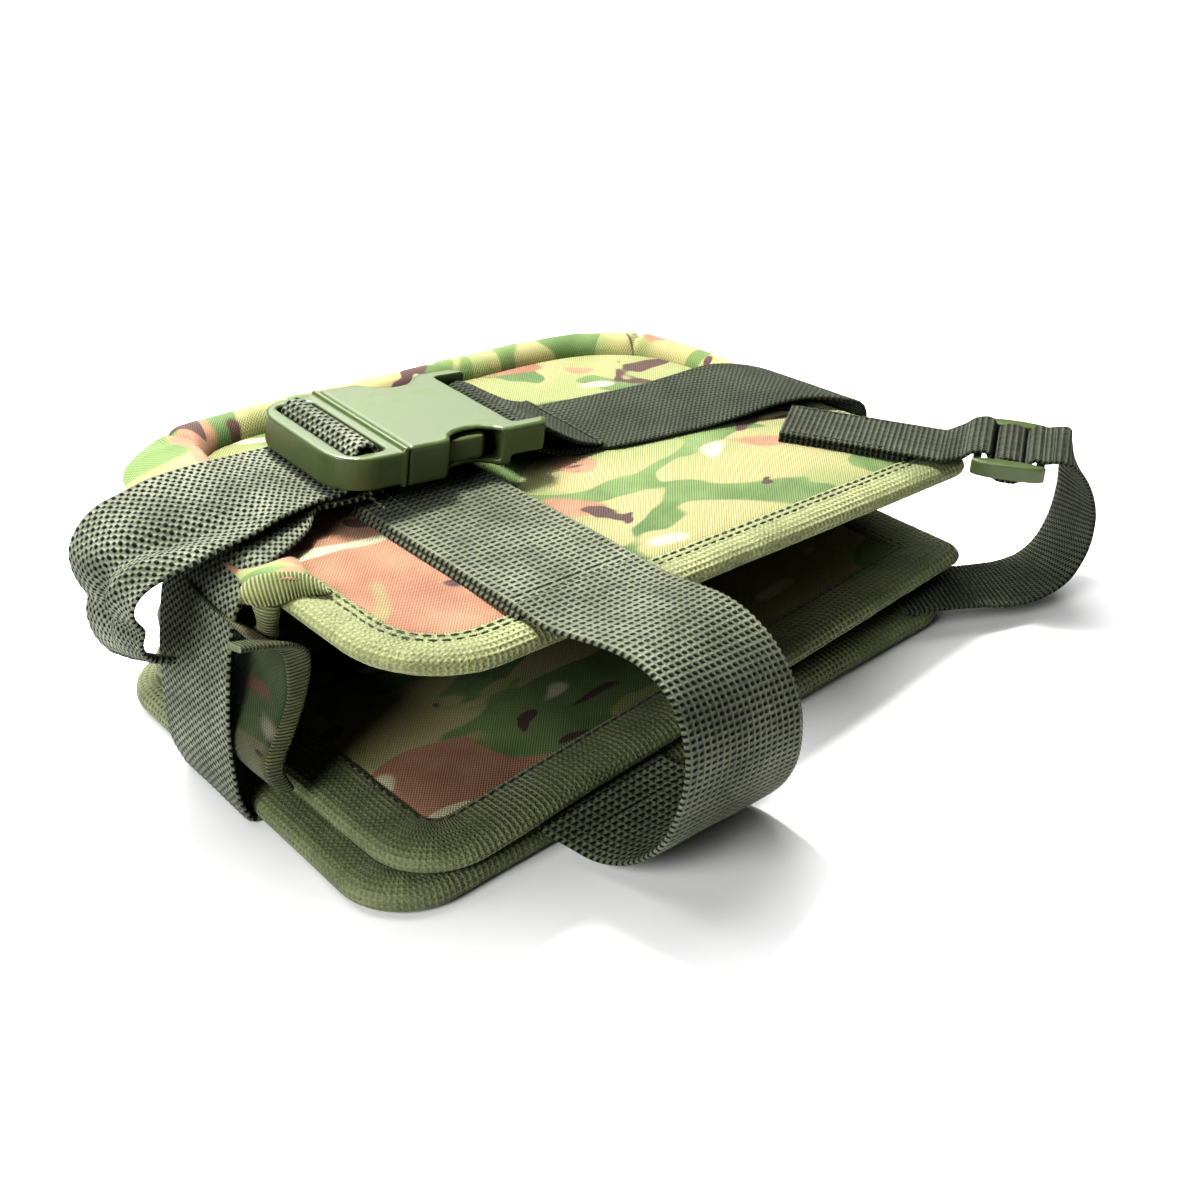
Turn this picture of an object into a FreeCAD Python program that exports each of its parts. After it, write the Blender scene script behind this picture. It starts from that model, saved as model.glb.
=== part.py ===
import FreeCAD, Part
import math
import os

# Folding camouflage field case, millimetres.
# Origin: centre of the base panel's footprint, on the surface that the case lies on.
# +X runs along the long side, +Y to the folded back edge, +Z up.

V = FreeCAD.Vector

# panels
CASE_LENGTH = 225.0
CASE_DEPTH = 151.0
COVER = 0.8
BOARD = 1.6
FOAM = 1.6
LINING = 0.8
PANEL_HALF = (COVER + BOARD + FOAM + LINING) / 2
TAPE = 0.6
TAPE_HALF = PANEL_HALF + TAPE
EDGE_INSET = 0.8
TOP_TAPE_WIDTH = 13.0
MIDDLE_TAPE_WIDTH = 17.0
BASE_LIP = 1.8

# attitude of each panel: centre of its mid-plane, then yaw, pitch and roll in degrees
BASE_AT = (0.0, 0.0, BASE_LIP + PANEL_HALF)
MIDDLE_AT = (6.0, 0.0, 15.1)
MIDDLE_TURN = (1.5, -1.7, 0.6)
TOP_AT = (10.5, 3.5, 60.1)
TOP_TURN = (2.2, 5.8, 1.8)

# webbing
WEB = 1.5
BELT_WIDTH = 38.0
FRONT_STRAP_WIDTH = 45.0
CORNER_STRAP_WIDTH = 25.0
STRAP_GAP = 0.1
BELT_Y = 7.0

# side-release buckle, in its own frame: x along the belt from the male end
BUCKLE_AT = (-81.2, 19.6, 13.4)
BUCKLE_TURN = (-2.5, 3.6, 0.0)
BUCKLE_LENGTH = 72.0
BUCKLE_WIDTH = 48.0
BUCKLE_HEIGHT = 12.0
MOUTH_X = 21.5
SLOT_START = 4.9
SLOT_END = 17.0
SLOT_HALF = 19.8
BAR_START = 9.0
BAR_END = 12.5
BAR_LOW = 5.0
BAR_HIGH = 8.5
CAVITY_HALF = 20.6
CAVITY_LOW = 2.0
CAVITY_HIGH = 10.0
CAVITY_END = 57.0
WINDOW_START = 36.5
WINDOW_END = 54.5
END_SLOT = (60.0, 66.4)
END_BAR = (66.9, 69.5, 3.8, 7.0)

# tri-glide, in its own frame: x along the corner strap, y across it
GLIDE_AT = (131.2, -74.3, 50.4)
GLIDE_TURN = (-56.3, 3.0, 0.0)
GLIDE_LENGTH = 22.0
GLIDE_WIDTH = 32.0
GLIDE_HEIGHT = 3.2
GLIDE_BAR = 3.4

NODES = {}


def placement(at, turn=(0, 0, 0)):
    return FreeCAD.Placement(V(*at), FreeCAD.Rotation(*turn))


BASE = placement(BASE_AT)
MIDDLE = placement(MIDDLE_AT, MIDDLE_TURN)
TOP = placement(TOP_AT, TOP_TURN)
BUCKLE = TOP.multiply(placement(BUCKLE_AT, BUCKLE_TURN))
GLIDE = placement(GLIDE_AT, GLIDE_TURN)


def add(name, shape, frame=None):
    """Keep a finished solid under its node name, moved from its own frame to the case's frame."""
    NODES[name] = moved(shape, frame) if frame is not None else shape


def moved(shape, frame):
    result = shape.copy()
    result.Placement = frame.multiply(result.Placement)
    return result


def placed(frame, points):
    """One rail station in the case's frame, from its two edge points in another frame."""
    return tuple(value for point in points for value in frame.multVec(V(*point)))


def block(x0, x1, y0, y1, z0, z1):
    return Part.makeBox(x1 - x0, y1 - y0, z1 - z0, V(x0, y0, z0))


def rectangle(length, depth, radii):
    """Corners (x, y, radius) in the order front-left, front-right, back-right, back-left."""
    hx = length / 2
    hy = depth / 2
    return [(x, y, r) for (x, y), r in zip(((-hx, -hy), (hx, -hy), (hx, hy), (-hx, hy)), radii)]


def inset_corner(before, corner, after, inset):
    """A polygon corner moved inwards by the same distance from both of its edges."""
    along_in = (V(*corner[:2], 0) - V(*before[:2], 0)).normalize()
    along_out = (V(*after[:2], 0) - V(*corner[:2], 0)).normalize()
    turn = along_in.cross(along_out).z
    return V(*corner[:2], 0) + (along_out - along_in) * (inset / turn)


def rounded_plate(corners, z0, z1, inset=0.0):
    """Convex outline with rounded corners, drawn inwards by the inset and extruded."""
    count = len(corners)
    points = [inset_corner(corners[i - 1], corners[i], corners[(i + 1) % count], inset)
              for i in range(count)]
    arcs = []
    for i, point in enumerate(points):
        radius = max(corners[i][2] - inset, 0.5)
        back = (points[i - 1] - point).normalize()
        ahead = (points[(i + 1) % count] - point).normalize()
        half = back.getAngle(ahead) / 2
        centre = point + (back + ahead).normalize() * (radius / math.sin(half))
        reach = radius / math.tan(half)
        middle = centre + (point - centre).normalize() * radius
        ends = [point + back * reach, middle, point + ahead * reach]
        arcs.append(Part.Arc(*[p + V(0, 0, z0) for p in ends]).toShape())
    edges = []
    for i, arc in enumerate(arcs):
        edges.append(arc)
        edges.append(Part.makeLine(arc.Vertexes[-1].Point, arcs[(i + 1) % count].Vertexes[0].Point))
    return Part.Face(Part.Wire(edges)).extrude(V(0, 0, z1 - z0))


def direction(degrees):
    """Unit vector in the XY plane, turned from +X."""
    return V(math.cos(math.radians(degrees)), math.sin(math.radians(degrees)), 0)


def spline_points(points, per_span=3):
    """Points of a smooth Catmull-Rom curve through tuples of any size."""
    padded = [points[0]] + list(points) + [points[-1]]
    result = []
    for i in range(1, len(padded) - 2):
        a, b, c, d = padded[i - 1:i + 3]
        for step in range(per_span):
            t = step / per_span
            result.append(tuple(
                0.5 * (2 * q + (r - p) * t + (2 * p - 5 * q + 4 * r - s) * t * t
                       + (3 * q - p - 3 * r + s) * t ** 3)
                for p, q, r, s in zip(a, b, c, d)))
    result.append(tuple(points[-1]))
    return result


def cross_sections(rails, per_span):
    """Edge points and unit normal at every station; a rail is (x, y, z of one edge, then the other)."""
    stations = spline_points(rails, per_span)
    left = [V(*s[:3]) for s in stations]
    right = [V(*s[3:]) for s in stations]
    middle = [(a + b) * 0.5 for a, b in zip(left, right)]
    last = len(stations) - 1
    result = []
    for i in range(last + 1):
        along = middle[min(i + 1, last)] - middle[max(i - 1, 0)]
        result.append((left[i], right[i], along.cross(right[i] - left[i]).normalize()))
    return result


def webbing(sections, thickness):
    """Flat webbing lofted through cross sections."""
    outlines = []
    for left, right, normal in sections:
        rise = normal * (thickness / 2)
        corners = [left - rise, right - rise, right + rise, left + rise]
        outlines.append(Part.makePolygon(corners + corners[:1]))
    return Part.makeLoft(outlines, True, True)


def band(rails, thickness, frame=None, per_span=3):
    """One length of webbing between two edge curves."""
    if frame is not None:
        rails = [placed(frame, (rail[:3], rail[3:])) for rail in rails]
    return webbing(cross_sections(rails, per_span), thickness)


def add_run(pieces, per_span=2):
    """Webbing that keeps one path through several nodes: (name, rails, thickness) in order."""
    rails = [rail for _, part, _ in pieces for rail in part]
    sections = cross_sections(rails, per_span)
    first = 0
    total = 0
    for name, part, thickness in pieces:
        total += len(part)
        last = min(total * per_span, len(sections) - 1)
        add(name, webbing(sections[first:last + 1], thickness))
        first = last


def strap_rails(centres, width, frame):
    """Rails from centre stations (x, y, z, and the angle of the width from +Y, in degrees)."""
    rails = []
    for x, y, z, angle in centres:
        side = direction(90 + angle) * (width / 2)
        rails.append(placed(frame, (V(x, y, z) - side, V(x, y, z) + side)))
    return rails


# ---------------------------------------------------------------- panels


def panel(prefix, frame, corners, tape_width, flipped, low_lip=TAPE, notches=()):
    """A stiffened panel: fabric, board, foam and lining, bound round its edge with folded tape."""
    names = ["cover", "board", "foam", "lining"]
    heights = [COVER, BOARD, FOAM, LINING]
    if flipped:
        names.reverse()
        heights.reverse()
    z = -PANEL_HALF
    for name, height in zip(names, heights):
        add(prefix + "_" + name, rounded_plate(corners, z, z + height, EDGE_INSET), frame)
        z += height
    low = -PANEL_HALF - low_lip
    ring = rounded_plate(corners, low, TAPE_HALF)
    ring = ring.cut(rounded_plate(corners, low - 1, TAPE_HALF + 1, tape_width))
    ring = ring.cut(rounded_plate(corners, -PANEL_HALF, PANEL_HALF, EDGE_INSET))
    for notch in notches:
        ring = ring.cut(notch)
    add(prefix + "_binding", ring, frame)


def panels():
    half_belt = BELT_WIDTH / 2 + STRAP_GAP
    notch = block(-CASE_LENGTH, CASE_LENGTH, BELT_Y - half_belt, BELT_Y + half_belt,
                  -BASE_AT[2] - 1, -PANEL_HALF)
    base = rectangle(CASE_LENGTH, CASE_DEPTH, (22, 18, 20, 20))
    middle = rectangle(CASE_LENGTH - 3, CASE_DEPTH - 2, (23, 7, 20, 20))
    half = CASE_LENGTH / 2
    depth = CASE_DEPTH / 2
    top = [(-half, -depth, 30), (half + 0.5, -depth, 10), (half - 17, depth, 38), (-half, depth, 30)]
    panel("base", BASE, base, MIDDLE_TAPE_WIDTH, False, BASE_LIP, [notch])
    panel("middle", MIDDLE, middle, MIDDLE_TAPE_WIDTH, False)
    panel("top", TOP, top, TOP_TAPE_WIDTH, True)


RIM_PATH = [(-104, -31, 7.5, 3.2), (-104, -8, 7.5, 1.8), (-103.5, 20, 7.5, 1.8), (-102, 40, 7.5, 4.6),
            (-99, 56, 7.5, 6.2), (-87, 67, 5.8, 6.4), (-55, 69.5, 4.8, 6.4), (0, 69.5, 4.8, 6.2),
            (42, 68, 4.8, 6.0), (68, 58, 4.8, 6.0), (85, 40, 4.8, 5.0), (92, 22, 4.8, 3.0),
            (96, 2, 4.6, 1.8)]


def top_rim():
    """Soft welt that stands round the left, back and right of the top panel, with a foam cord inside."""
    base = TAPE_HALF + 0.1
    skin = 0.5
    shell = welt(base, 0.0)
    add("top_rim", shell.cut(welt(base, skin)), TOP)
    add("top_rim_filler", welt(base, skin + 0.05), TOP)


def welt(base, inset):
    """Roof-shaped section along the rim's path, drawn inwards by the inset."""
    stations = spline_points(RIM_PATH, 2)
    sections = []
    last = len(stations) - 1
    for i, (x, y, half, height) in enumerate(stations):
        after = stations[min(i + 1, last)]
        before = stations[max(i - 1, 0)]
        along = V(after[0] - before[0], after[1] - before[1], 0).normalize()
        side = V(-along.y, along.x, 0) * (half - inset)
        foot = V(x, y, base + inset)
        if i in (0, last):
            foot = foot + along * (inset if i == 0 else -inset)
        up = V(0, 0, height - 2 * inset)
        corners = [foot - side, foot + side, foot + side + up * 0.55, foot + side * 0.5 + up,
                   foot - side * 0.5 + up, foot - side + up * 0.55]
        sections.append(Part.makePolygon(corners + corners[:1]))
    return Part.makeLoft(sections, True, True)


# ---------------------------------------------------------------- gussets


def folded_wall(start, end, offset):
    """Thin wall lofted between two folded profiles of the same number of points."""
    sections = []
    for profile in (start, end):
        near = [V(*p) for p in profile]
        far = [p + V(*offset) for p in reversed(near)]
        sections.append(Part.makePolygon(near + far + near[:1]))
    return Part.makeLoft(sections, True, True)


def gussets():
    """Bellows walls that fold inwards between the middle and the top panel."""
    front = -24.0
    left_front = [(-103, front, 65.6), (-105.5, front, 60), (-98.5, front, 52), (-101.5, front, 38),
                  (-105, front, 24), (-104, front, 16.2)]
    left_back = [(x, 59, z + 1.6) for x, _, z in left_front]
    add("gusset_left", folded_wall(left_front, left_back, (1.2, 0, 0)))
    right_front = [(110, front, 44.8), (112, front, 40), (101, front, 33), (109, front, 26),
                   (107, front, 22.4)]
    right_back = [(x, 59, z + 1.2) for x, _, z in right_front]
    add("gusset_right", folded_wall(right_front, right_back, (1.2, 0, 0)))
    back_left = [(-98, 69.5, 68.4), (-98, 71.5, 60), (-98, 62, 42), (-98, 71.5, 24), (-98, 69.5, 16.6)]
    back_right = [(105, 69.5, 47.4), (105, 71.5, 43), (105, 62, 35), (105, 71.5, 28), (105, 69.5, 23.0)]
    add("gusset_back", folded_wall(back_left, back_right, (0, 1.2, 0)))
    edge_left = [(-106.6, -25.4, 64.2), (-106.2, -25.4, 60), (-99.2, -25.4, 54.5), (-99.6, -25.4, 46),
                 (-101.5, -25.4, 38), (-104.6, -25.4, 26), (-104.2, -25.4, 17.0)]
    add("gusset_left_binding", edge_tape(edge_left, 8.0))
    edge_right = [(111.5, -25.4, 43.6), (111.5, -25.4, 39.5), (102.4, -25.4, 33), (109, -25.4, 26.5),
                  (108, -25.4, 23.4)]
    add("gusset_right_binding", edge_tape(edge_right, 8.0))


def edge_tape(centres, width):
    """Folded binding tape that stands on the front edge of a gusset."""
    rails = [(x - width / 2, y, z, x + width / 2, y, z) for x, y, z in centres]
    return band(rails, 2.0)


# ---------------------------------------------------------------- belt


BELT_HALF = BELT_WIDTH / 2
UNDERSIDE_HALF = CASE_LENGTH / 2 - 2.5


def across(x, z):
    """One rail station across the belt, at (x, z) of the buckle's frame."""
    return placed(BUCKLE, ((x, -BELT_HALF, z), (x, BELT_HALF, z)))


def on_top(near, far):
    """One rail station across the belt, from its two edges in the top panel's frame."""
    return placed(TOP, (near, far))


def level(x, z, shift=0.0, twist=0.0):
    """One rail station across the belt at a height, shifted and twisted forwards."""
    near = BELT_Y - BELT_HALF - shift
    far = BELT_Y + BELT_HALF - shift - twist
    return (x, near, z, x, far, z)


def belt_turn(side):
    """Where the belt leaves the underside and turns up beside the base panel."""
    low = WEB / 2 + 0.03
    start = UNDERSIDE_HALF
    bend = ((0, low), (1.2, low), (2.3, low), (3.7, low + 0.6), (4.6, low + 2.2))
    return [level(side * (start + x), z) for x, z in bend]


def belt():
    add("belt_underside", block(-UNDERSIDE_HALF, UNDERSIDE_HALF, BELT_Y - BELT_HALF,
                                BELT_Y + BELT_HALF, 0, WEB))
    belt_male_side()
    belt_female_side()


def belt_male_side():
    """Up the left side, over the rim, round the male bar and back to the free end."""
    side = belt_turn(-1)
    side += [level(-116.8, 14), level(-115.6, 36), level(-111.2, 58), level(-106.8, 69, 0.4, 0.2)]
    side.append(on_top((-112.2, -11.5, 4.6), (-112.2, 26.5, 6.6)))
    over = [on_top((-108, -10.5, 6.0), (-108, 27.5, 8.6)), on_top((-100, -8, 7.2), (-100, 30, 10.2)),
            on_top((-92, -4, 8.0), (-92, 34, 11.0)), across(-3.6, -3.35)]
    wrap = [across(x, z) for x, z in ((4, -3.4), (11, -3.2), (14.4, -1.2), (14.9, 3.2), (14.2, 7.8),
                                      (11.6, 9.7), (8.6, 9.2), (7.0, 6.6), (6.7, 2.6), (5.4, -0.2),
                                      (2.2, -1.1), (-3.6, -1.3))]
    tail = [(-86, -1.9, 81.9, -86, 36.3, 84.6), (-94, -3.2, 81.2, -94, 35.8, 85.6),
            (-104, -3.8, 80.8, -104, 35.5, 86.4), (-113, -4, 80.0, -113, 35.5, 86.4),
            (-121.5, -3.6, 77.6, -121.5, 35.5, 84.0), (-128, -2.4, 73.0, -128, 35.8, 77.0),
            (-130.6, -1, 66.5, -129.3, 36, 66), (-129.8, 1, 60, -128.3, 36, 54),
            (-126.2, 3, 55.5, -125, 35.6, 42)]
    hem = [(-123.0, 3.4, 53.4, -121.7, 35.4, 37.8), (-121.6, 3.6, 50.3, -120.9, 35.2, 33.5)]
    add_run([("belt_side_left", side, WEB), ("belt_top_left", over, WEB),
             ("belt_male_wrap", wrap, WEB), ("belt_tail", tail, WEB), ("belt_tail_hem", hem, 2.6)])


def belt_female_side():
    """The sewn loop round the female bar, then over the right rim and down the right side."""
    wrap = [across(x, z) for x, z in ((97, -2.2), (88, 0.2), (78, 5.0), (72, 8.2), (68.2, 9.3),
                                      (65.2, 8.1), (64.3, 5.4), (65.4, 2.5), (69, 1.6), (76, -0.8),
                                      (86, -3.3), (96, -3.9))]
    centres = [(24, 12.7, 3.95, -5), (38, 10.3, 4.0, -5), (54, 7.8, 4.2, -5), (68, 5.0, 5.6, -7)]
    over = strap_rails(centres, BELT_WIDTH, TOP)
    over += [on_top((81, -16.5, 7.3), (85.5, 21.0, 7.3)), on_top((94, -20.0, 7.7), (94.5, 16.6, 7.3)),
             on_top((105, -25.5, 6.4), (102.0, 12.0, 6.0))]
    side = [on_top((111.6, -29.0, 3.8), (107.0, 8.6, 3.4)),
            (123.9, -21, 41, 121.2, 14, 42), level(121.6, 28, 6, 2), level(118.8, 14, 3, 0)]
    side += list(reversed(belt_turn(1)))
    add_run([("belt_female_wrap", wrap, WEB), ("belt_top_right", over, WEB),
             ("belt_side_right", side, WEB)])


# ---------------------------------------------------------------- buckle


def rounded(shape, radius, test):
    """Fillet the edges that the test picks."""
    edges = [edge for edge in shape.Edges if test(edge.BoundBox)]
    return shape.makeFillet(radius, edges)


def upright(box):
    return box.ZLength > 3 and box.XLength < 0.01 and box.YLength < 0.01


def buckle_male():
    half = BUCKLE_WIDTH / 2
    frame = rounded(block(0, MOUTH_X, -half, half, 0.4, BUCKLE_HEIGHT - 0.8), 5.0,
                    lambda box: upright(box) and box.XMax < 1)
    frame = frame.cut(block(SLOT_START, SLOT_END, -SLOT_HALF, SLOT_HALF, -1, BUCKLE_HEIGHT + 1))
    frame = rounded(frame, 1.6, lambda box: box.XMax < 0.01 and box.YLength > 20)
    bar = block(BAR_START, BAR_END, -SLOT_HALF - 1, SLOT_HALF + 1, BAR_LOW, BAR_HIGH)
    guide = block(MOUTH_X - 1, CAVITY_END - 3, -4.0, 4.0, 4.0, 8.0)
    add("buckle_male", frame.fuse(bar).fuse(guide), BUCKLE)


def latch_arm(side):
    """One spring arm: a thin beam from the male body to the thumb pad that fills the side window."""
    beam = block(MOUTH_X + 0.3, WINDOW_START + 8, side * 15.5 - 1.3, side * 15.5 + 1.3, 3.2, 8.8)
    pad_low, pad_high = sorted((side * 14.5, side * 21.6))
    pad = block(WINDOW_START + 2.0, WINDOW_END - 2.5, pad_low, pad_high, 2.6, 9.4)
    pad = rounded(pad, 3.0, lambda box: upright(box) and abs((box.YMin + box.YMax) / 2) > 20)
    return beam.fuse(pad)


def buckle_female():
    half = BUCKLE_WIDTH / 2
    shell = block(MOUTH_X + 0.3, BUCKLE_LENGTH, -half, half, 0, BUCKLE_HEIGHT)
    shell = rounded(shell, 4.0, lambda box: upright(box) and box.XMin > BUCKLE_LENGTH - 1)
    shell = shell.cut(block(MOUTH_X, CAVITY_END, -CAVITY_HALF, CAVITY_HALF, CAVITY_LOW, CAVITY_HIGH))
    for side in (-1, 1):
        centre = V((WINDOW_START + WINDOW_END) / 2, side * (half + 1), CAVITY_LOW)
        window = Part.makeCylinder((WINDOW_END - WINDOW_START) / 2, BUCKLE_HEIGHT, centre)
        shell = shell.cut(window)
    shell = shell.cut(block(END_SLOT[0], END_SLOT[1], -SLOT_HALF, SLOT_HALF, -1, BUCKLE_HEIGHT + 1))
    shell = shell.cut(block(END_SLOT[1] - 1, BUCKLE_LENGTH + 1, -SLOT_HALF, SLOT_HALF, -1,
                            BUCKLE_HEIGHT + 1))
    x0, x1, z0, z1 = END_BAR
    bar = block(x0, x1, -SLOT_HALF - 1, SLOT_HALF + 1, z0, z1)
    add("buckle_female", shell.fuse(bar), BUCKLE)


def buckle():
    buckle_male()
    add("latch_arm_front", latch_arm(-1), BUCKLE)
    add("latch_arm_rear", latch_arm(1), BUCKLE)
    buckle_female()


# ---------------------------------------------------------------- front strap


FRONT_X = -49.5
BACKING_Z = TAPE_HALF + STRAP_GAP + WEB / 2
UPPER_Z = BACKING_Z + WEB + STRAP_GAP


def front_strap():
    """Wide strap sewn to the top panel, with a loop over the front edge to the base panel."""
    half = FRONT_STRAP_WIDTH / 2
    sewn_back = 18.0
    sewn_front = -64.0
    backing = block(FRONT_X - half - 0.8, FRONT_X + half - 0.8, sewn_front - 3, sewn_back - 4,
                    BACKING_Z - WEB / 2, BACKING_Z + WEB / 2)
    add("front_strap_backing", backing, TOP)
    upper = block(FRONT_X - half, FRONT_X + half, sewn_front, sewn_back,
                  UPPER_Z - WEB / 2, UPPER_Z + WEB / 2)
    add("front_strap_top", upper, TOP)
    loop = [placed(TOP, ((FRONT_X - half, y, UPPER_Z), (FRONT_X + half, y, UPPER_Z)))
            for y in (sewn_front - STRAP_GAP, sewn_front - 12)]
    loop += [(-53.5, -98, 71.6, -8, -90, 64.0), (-52.5, -110, 69.6, -6, -101.5, 58.6),
             (-52, -117, 63.4, -5, -108.5, 50.4), (-52, -120, 54, -4.5, -112.6, 40.5),
             (-52, -119.5, 44, -4.5, -113.6, 31), (-52.5, -116.5, 32, -4.5, -112, 21.5),
             (-53, -111, 19.5, -5, -107.6, 12), (-54.5, -102, 9.0, -6, -100.5, 5.0),
             (-57, -92, 4.6, -9, -91.5, 3.2), (-60, -83, 6.0, -13, -83, 5.6)]
    end = [(-62.5, -76.5, 8.1, -17, -76.5, 8.3), (-62.5, -64, 8.6, -17.5, -64, 8.7),
           (-62.5, -52, 8.6, -18, -52, 8.7)]
    add_run([("front_strap_loop", loop, WEB), ("front_strap_end", end, WEB)])
    stitches = [block(FRONT_X - half + 3 + 3.2 * i, FRONT_X - half + 5.2 + 3.2 * i, -61.4, -60.8,
                      UPPER_Z + WEB / 2, UPPER_Z + WEB / 2 + 0.35) for i in range(12)]
    add("front_strap_stitches", Part.makeCompound(stitches), TOP)


# ---------------------------------------------------------------- corner strap


CORNER_ANGLE = -58.5
CORNER_START = (77.0, -24.0)
CORNER_END = (104.0, -67.0)
ANCHOR_END = (98.6, -58.4)
CORNER_Z = UPPER_Z + 0.2


def corner_strap():
    """Narrow strap across the front-right corner, through a tri-glide, looped down to the base panel."""
    width = CORNER_STRAP_WIDTH
    anchor = [(*point, BACKING_Z, CORNER_ANGLE) for point in (CORNER_START, ANCHOR_END)]
    add("corner_strap_anchor", band(strap_rails(anchor, width, TOP), WEB, None, 1))
    middle = [(a + b) / 2 for a, b in zip(CORNER_START, CORNER_END)]
    sewn = [(*point, CORNER_Z, CORNER_ANGLE) for point in (CORNER_START, middle, CORNER_END)]
    through = ((-14.5, 2.6), (-11.6, 5.0), (-7.2, 5.7), (-5.6, 2.6), (-5.6, -0.6), (-3.0, -3.0),
               (0, -3.4), (3.0, -3.0), (5.6, -0.6), (5.6, 2.6), (7.4, 5.0), (10.6, 4.8))
    fold = strap_rails([(x, 0, z, 0) for x, z in through], width, GLIDE)
    last = GLIDE.multVec(V(13.1, 0, 2.15))
    loop = [(*last, -56.3), (142.6, -91.4, 44.6, -56.3), (146.3, -96.8, 37.4, -56.3),
            (147.2, -97.8, 28, -56), (146.0, -96.2, 18, -55), (141.5, -92.0, 10.2, -52),
            (134.5, -87.0, 6.4, -47), (125.5, -81.5, 6.0, -40)]
    end = [(114.5, -75.8, 9.0, -32), (104, -70.0, 9.8, -30), (92, -63.0, 9.6, -28)]
    still = placement((0, 0, 0))
    add_run([("corner_strap_top", strap_rails(sewn, width, TOP), WEB),
             ("corner_strap_fold", fold, WEB),
             ("corner_strap_loop", strap_rails(loop, width, still), WEB),
             ("corner_strap_end", strap_rails(end, width, still), WEB)])
    corner_stitches()


def corner_stitches():
    stitches = []
    frame = placement((*CORNER_START, CORNER_Z + WEB / 2), (CORNER_ANGLE, 0, 0))
    inset = CORNER_STRAP_WIDTH / 2 - 1.5
    for across_strap in (-inset, inset):
        for step in range(7):
            start = 14 + 3.2 * step
            stitch = block(start, start + 2, across_strap - 0.3, across_strap + 0.3, 0, 0.35)
            stitches.append(moved(stitch, frame))
    add("corner_strap_stitches", Part.makeCompound(stitches), TOP)


def tri_glide():
    """Flat three-bar slide: outer frame with two slots either side of a middle bar."""
    plate = rounded_plate(rectangle(GLIDE_LENGTH, GLIDE_WIDTH, (4, 4, 4, 4)), 0, GLIDE_HEIGHT)
    rail = 2.6
    opening = CORNER_STRAP_WIDTH / 2 + 0.4
    for side in (-1, 1):
        low, high = sorted((side * GLIDE_BAR / 2, side * (GLIDE_LENGTH / 2 - rail)))
        plate = plate.cut(block(low, high, -opening, opening, -1, GLIDE_HEIGHT + 1))
    add("tri_glide", plate, GLIDE)


def build():
    panels()
    top_rim()
    gussets()
    belt()
    buckle()
    front_strap()
    corner_strap()
    tri_glide()


build()
os.makedirs("parts", exist_ok=True)
for node, shape in NODES.items():
    shape.exportStep("parts/" + node + ".step")
    print(node, "valid", shape.isValid(), "solids", len(shape.Solids), "volume", round(shape.Volume, 1))
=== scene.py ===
import math
from collections import namedtuple

import bpy
import numpy as np
from mathutils import Matrix, Vector, noise


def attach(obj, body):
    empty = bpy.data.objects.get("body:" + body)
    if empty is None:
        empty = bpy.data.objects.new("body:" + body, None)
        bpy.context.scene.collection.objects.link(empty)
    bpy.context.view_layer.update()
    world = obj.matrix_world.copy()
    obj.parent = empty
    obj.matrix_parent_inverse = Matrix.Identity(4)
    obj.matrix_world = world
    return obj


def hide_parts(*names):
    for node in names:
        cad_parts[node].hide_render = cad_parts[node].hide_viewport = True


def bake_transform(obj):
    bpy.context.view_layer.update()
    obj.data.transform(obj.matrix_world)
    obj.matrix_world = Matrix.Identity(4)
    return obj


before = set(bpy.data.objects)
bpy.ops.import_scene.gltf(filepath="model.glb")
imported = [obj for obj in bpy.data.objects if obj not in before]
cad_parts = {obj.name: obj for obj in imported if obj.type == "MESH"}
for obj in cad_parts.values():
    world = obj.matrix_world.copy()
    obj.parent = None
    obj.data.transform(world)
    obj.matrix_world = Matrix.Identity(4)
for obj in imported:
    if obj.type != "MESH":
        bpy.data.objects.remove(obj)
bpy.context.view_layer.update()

# Lengths below are in millimetres of the shared frame and turn to metres in build_mesh().
MM = 0.001
PANEL_HALF = 2.4  # half a panel's thickness, without its tape
WEB = 1.5  # webbing thickness
BELT_HALF = 19.0  # half the belt's width
BELT_Y = 7.0  # middle line of the belt


# ------------------------------------------------------------------ frames


def placement(at, turn=(0, 0, 0)):
    """A frame at a point, turned by yaw, pitch and roll in degrees."""
    yaw, pitch, roll = (math.radians(a) for a in turn)
    turned = Matrix.Rotation(yaw, 4, "Z") @ Matrix.Rotation(pitch, 4, "Y") @ Matrix.Rotation(roll, 4, "X")
    return Matrix.Translation(at) @ turned


WORLD = placement((0, 0, 0))
BASE = placement((0, 0, 1.8 + PANEL_HALF))
MIDDLE = placement((6.0, 0, 15.1), (1.5, -1.7, 0.6))
TOP = placement((10.5, 3.5, 60.1), (2.2, 5.8, 1.8))
BUCKLE = TOP @ placement((-81.2, 19.6, 13.4), (-2.5, 3.6, 0))
GLIDE = placement((131.2, -74.3, 50.4), (-56.3, 3.0, 0))


def to_frame(points, matrix):
    """Points of another frame, in the shared frame."""
    points = np.asarray(points, float)
    turned = points @ np.array(matrix.to_3x3()).T
    return turned + np.array(matrix.translation)


def placed(matrix, points):
    """One rail station in the shared frame, from its two edge points in another frame."""
    return tuple(to_frame(points, matrix).reshape(-1))


# ------------------------------------------------------------------ mesh helpers


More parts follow.
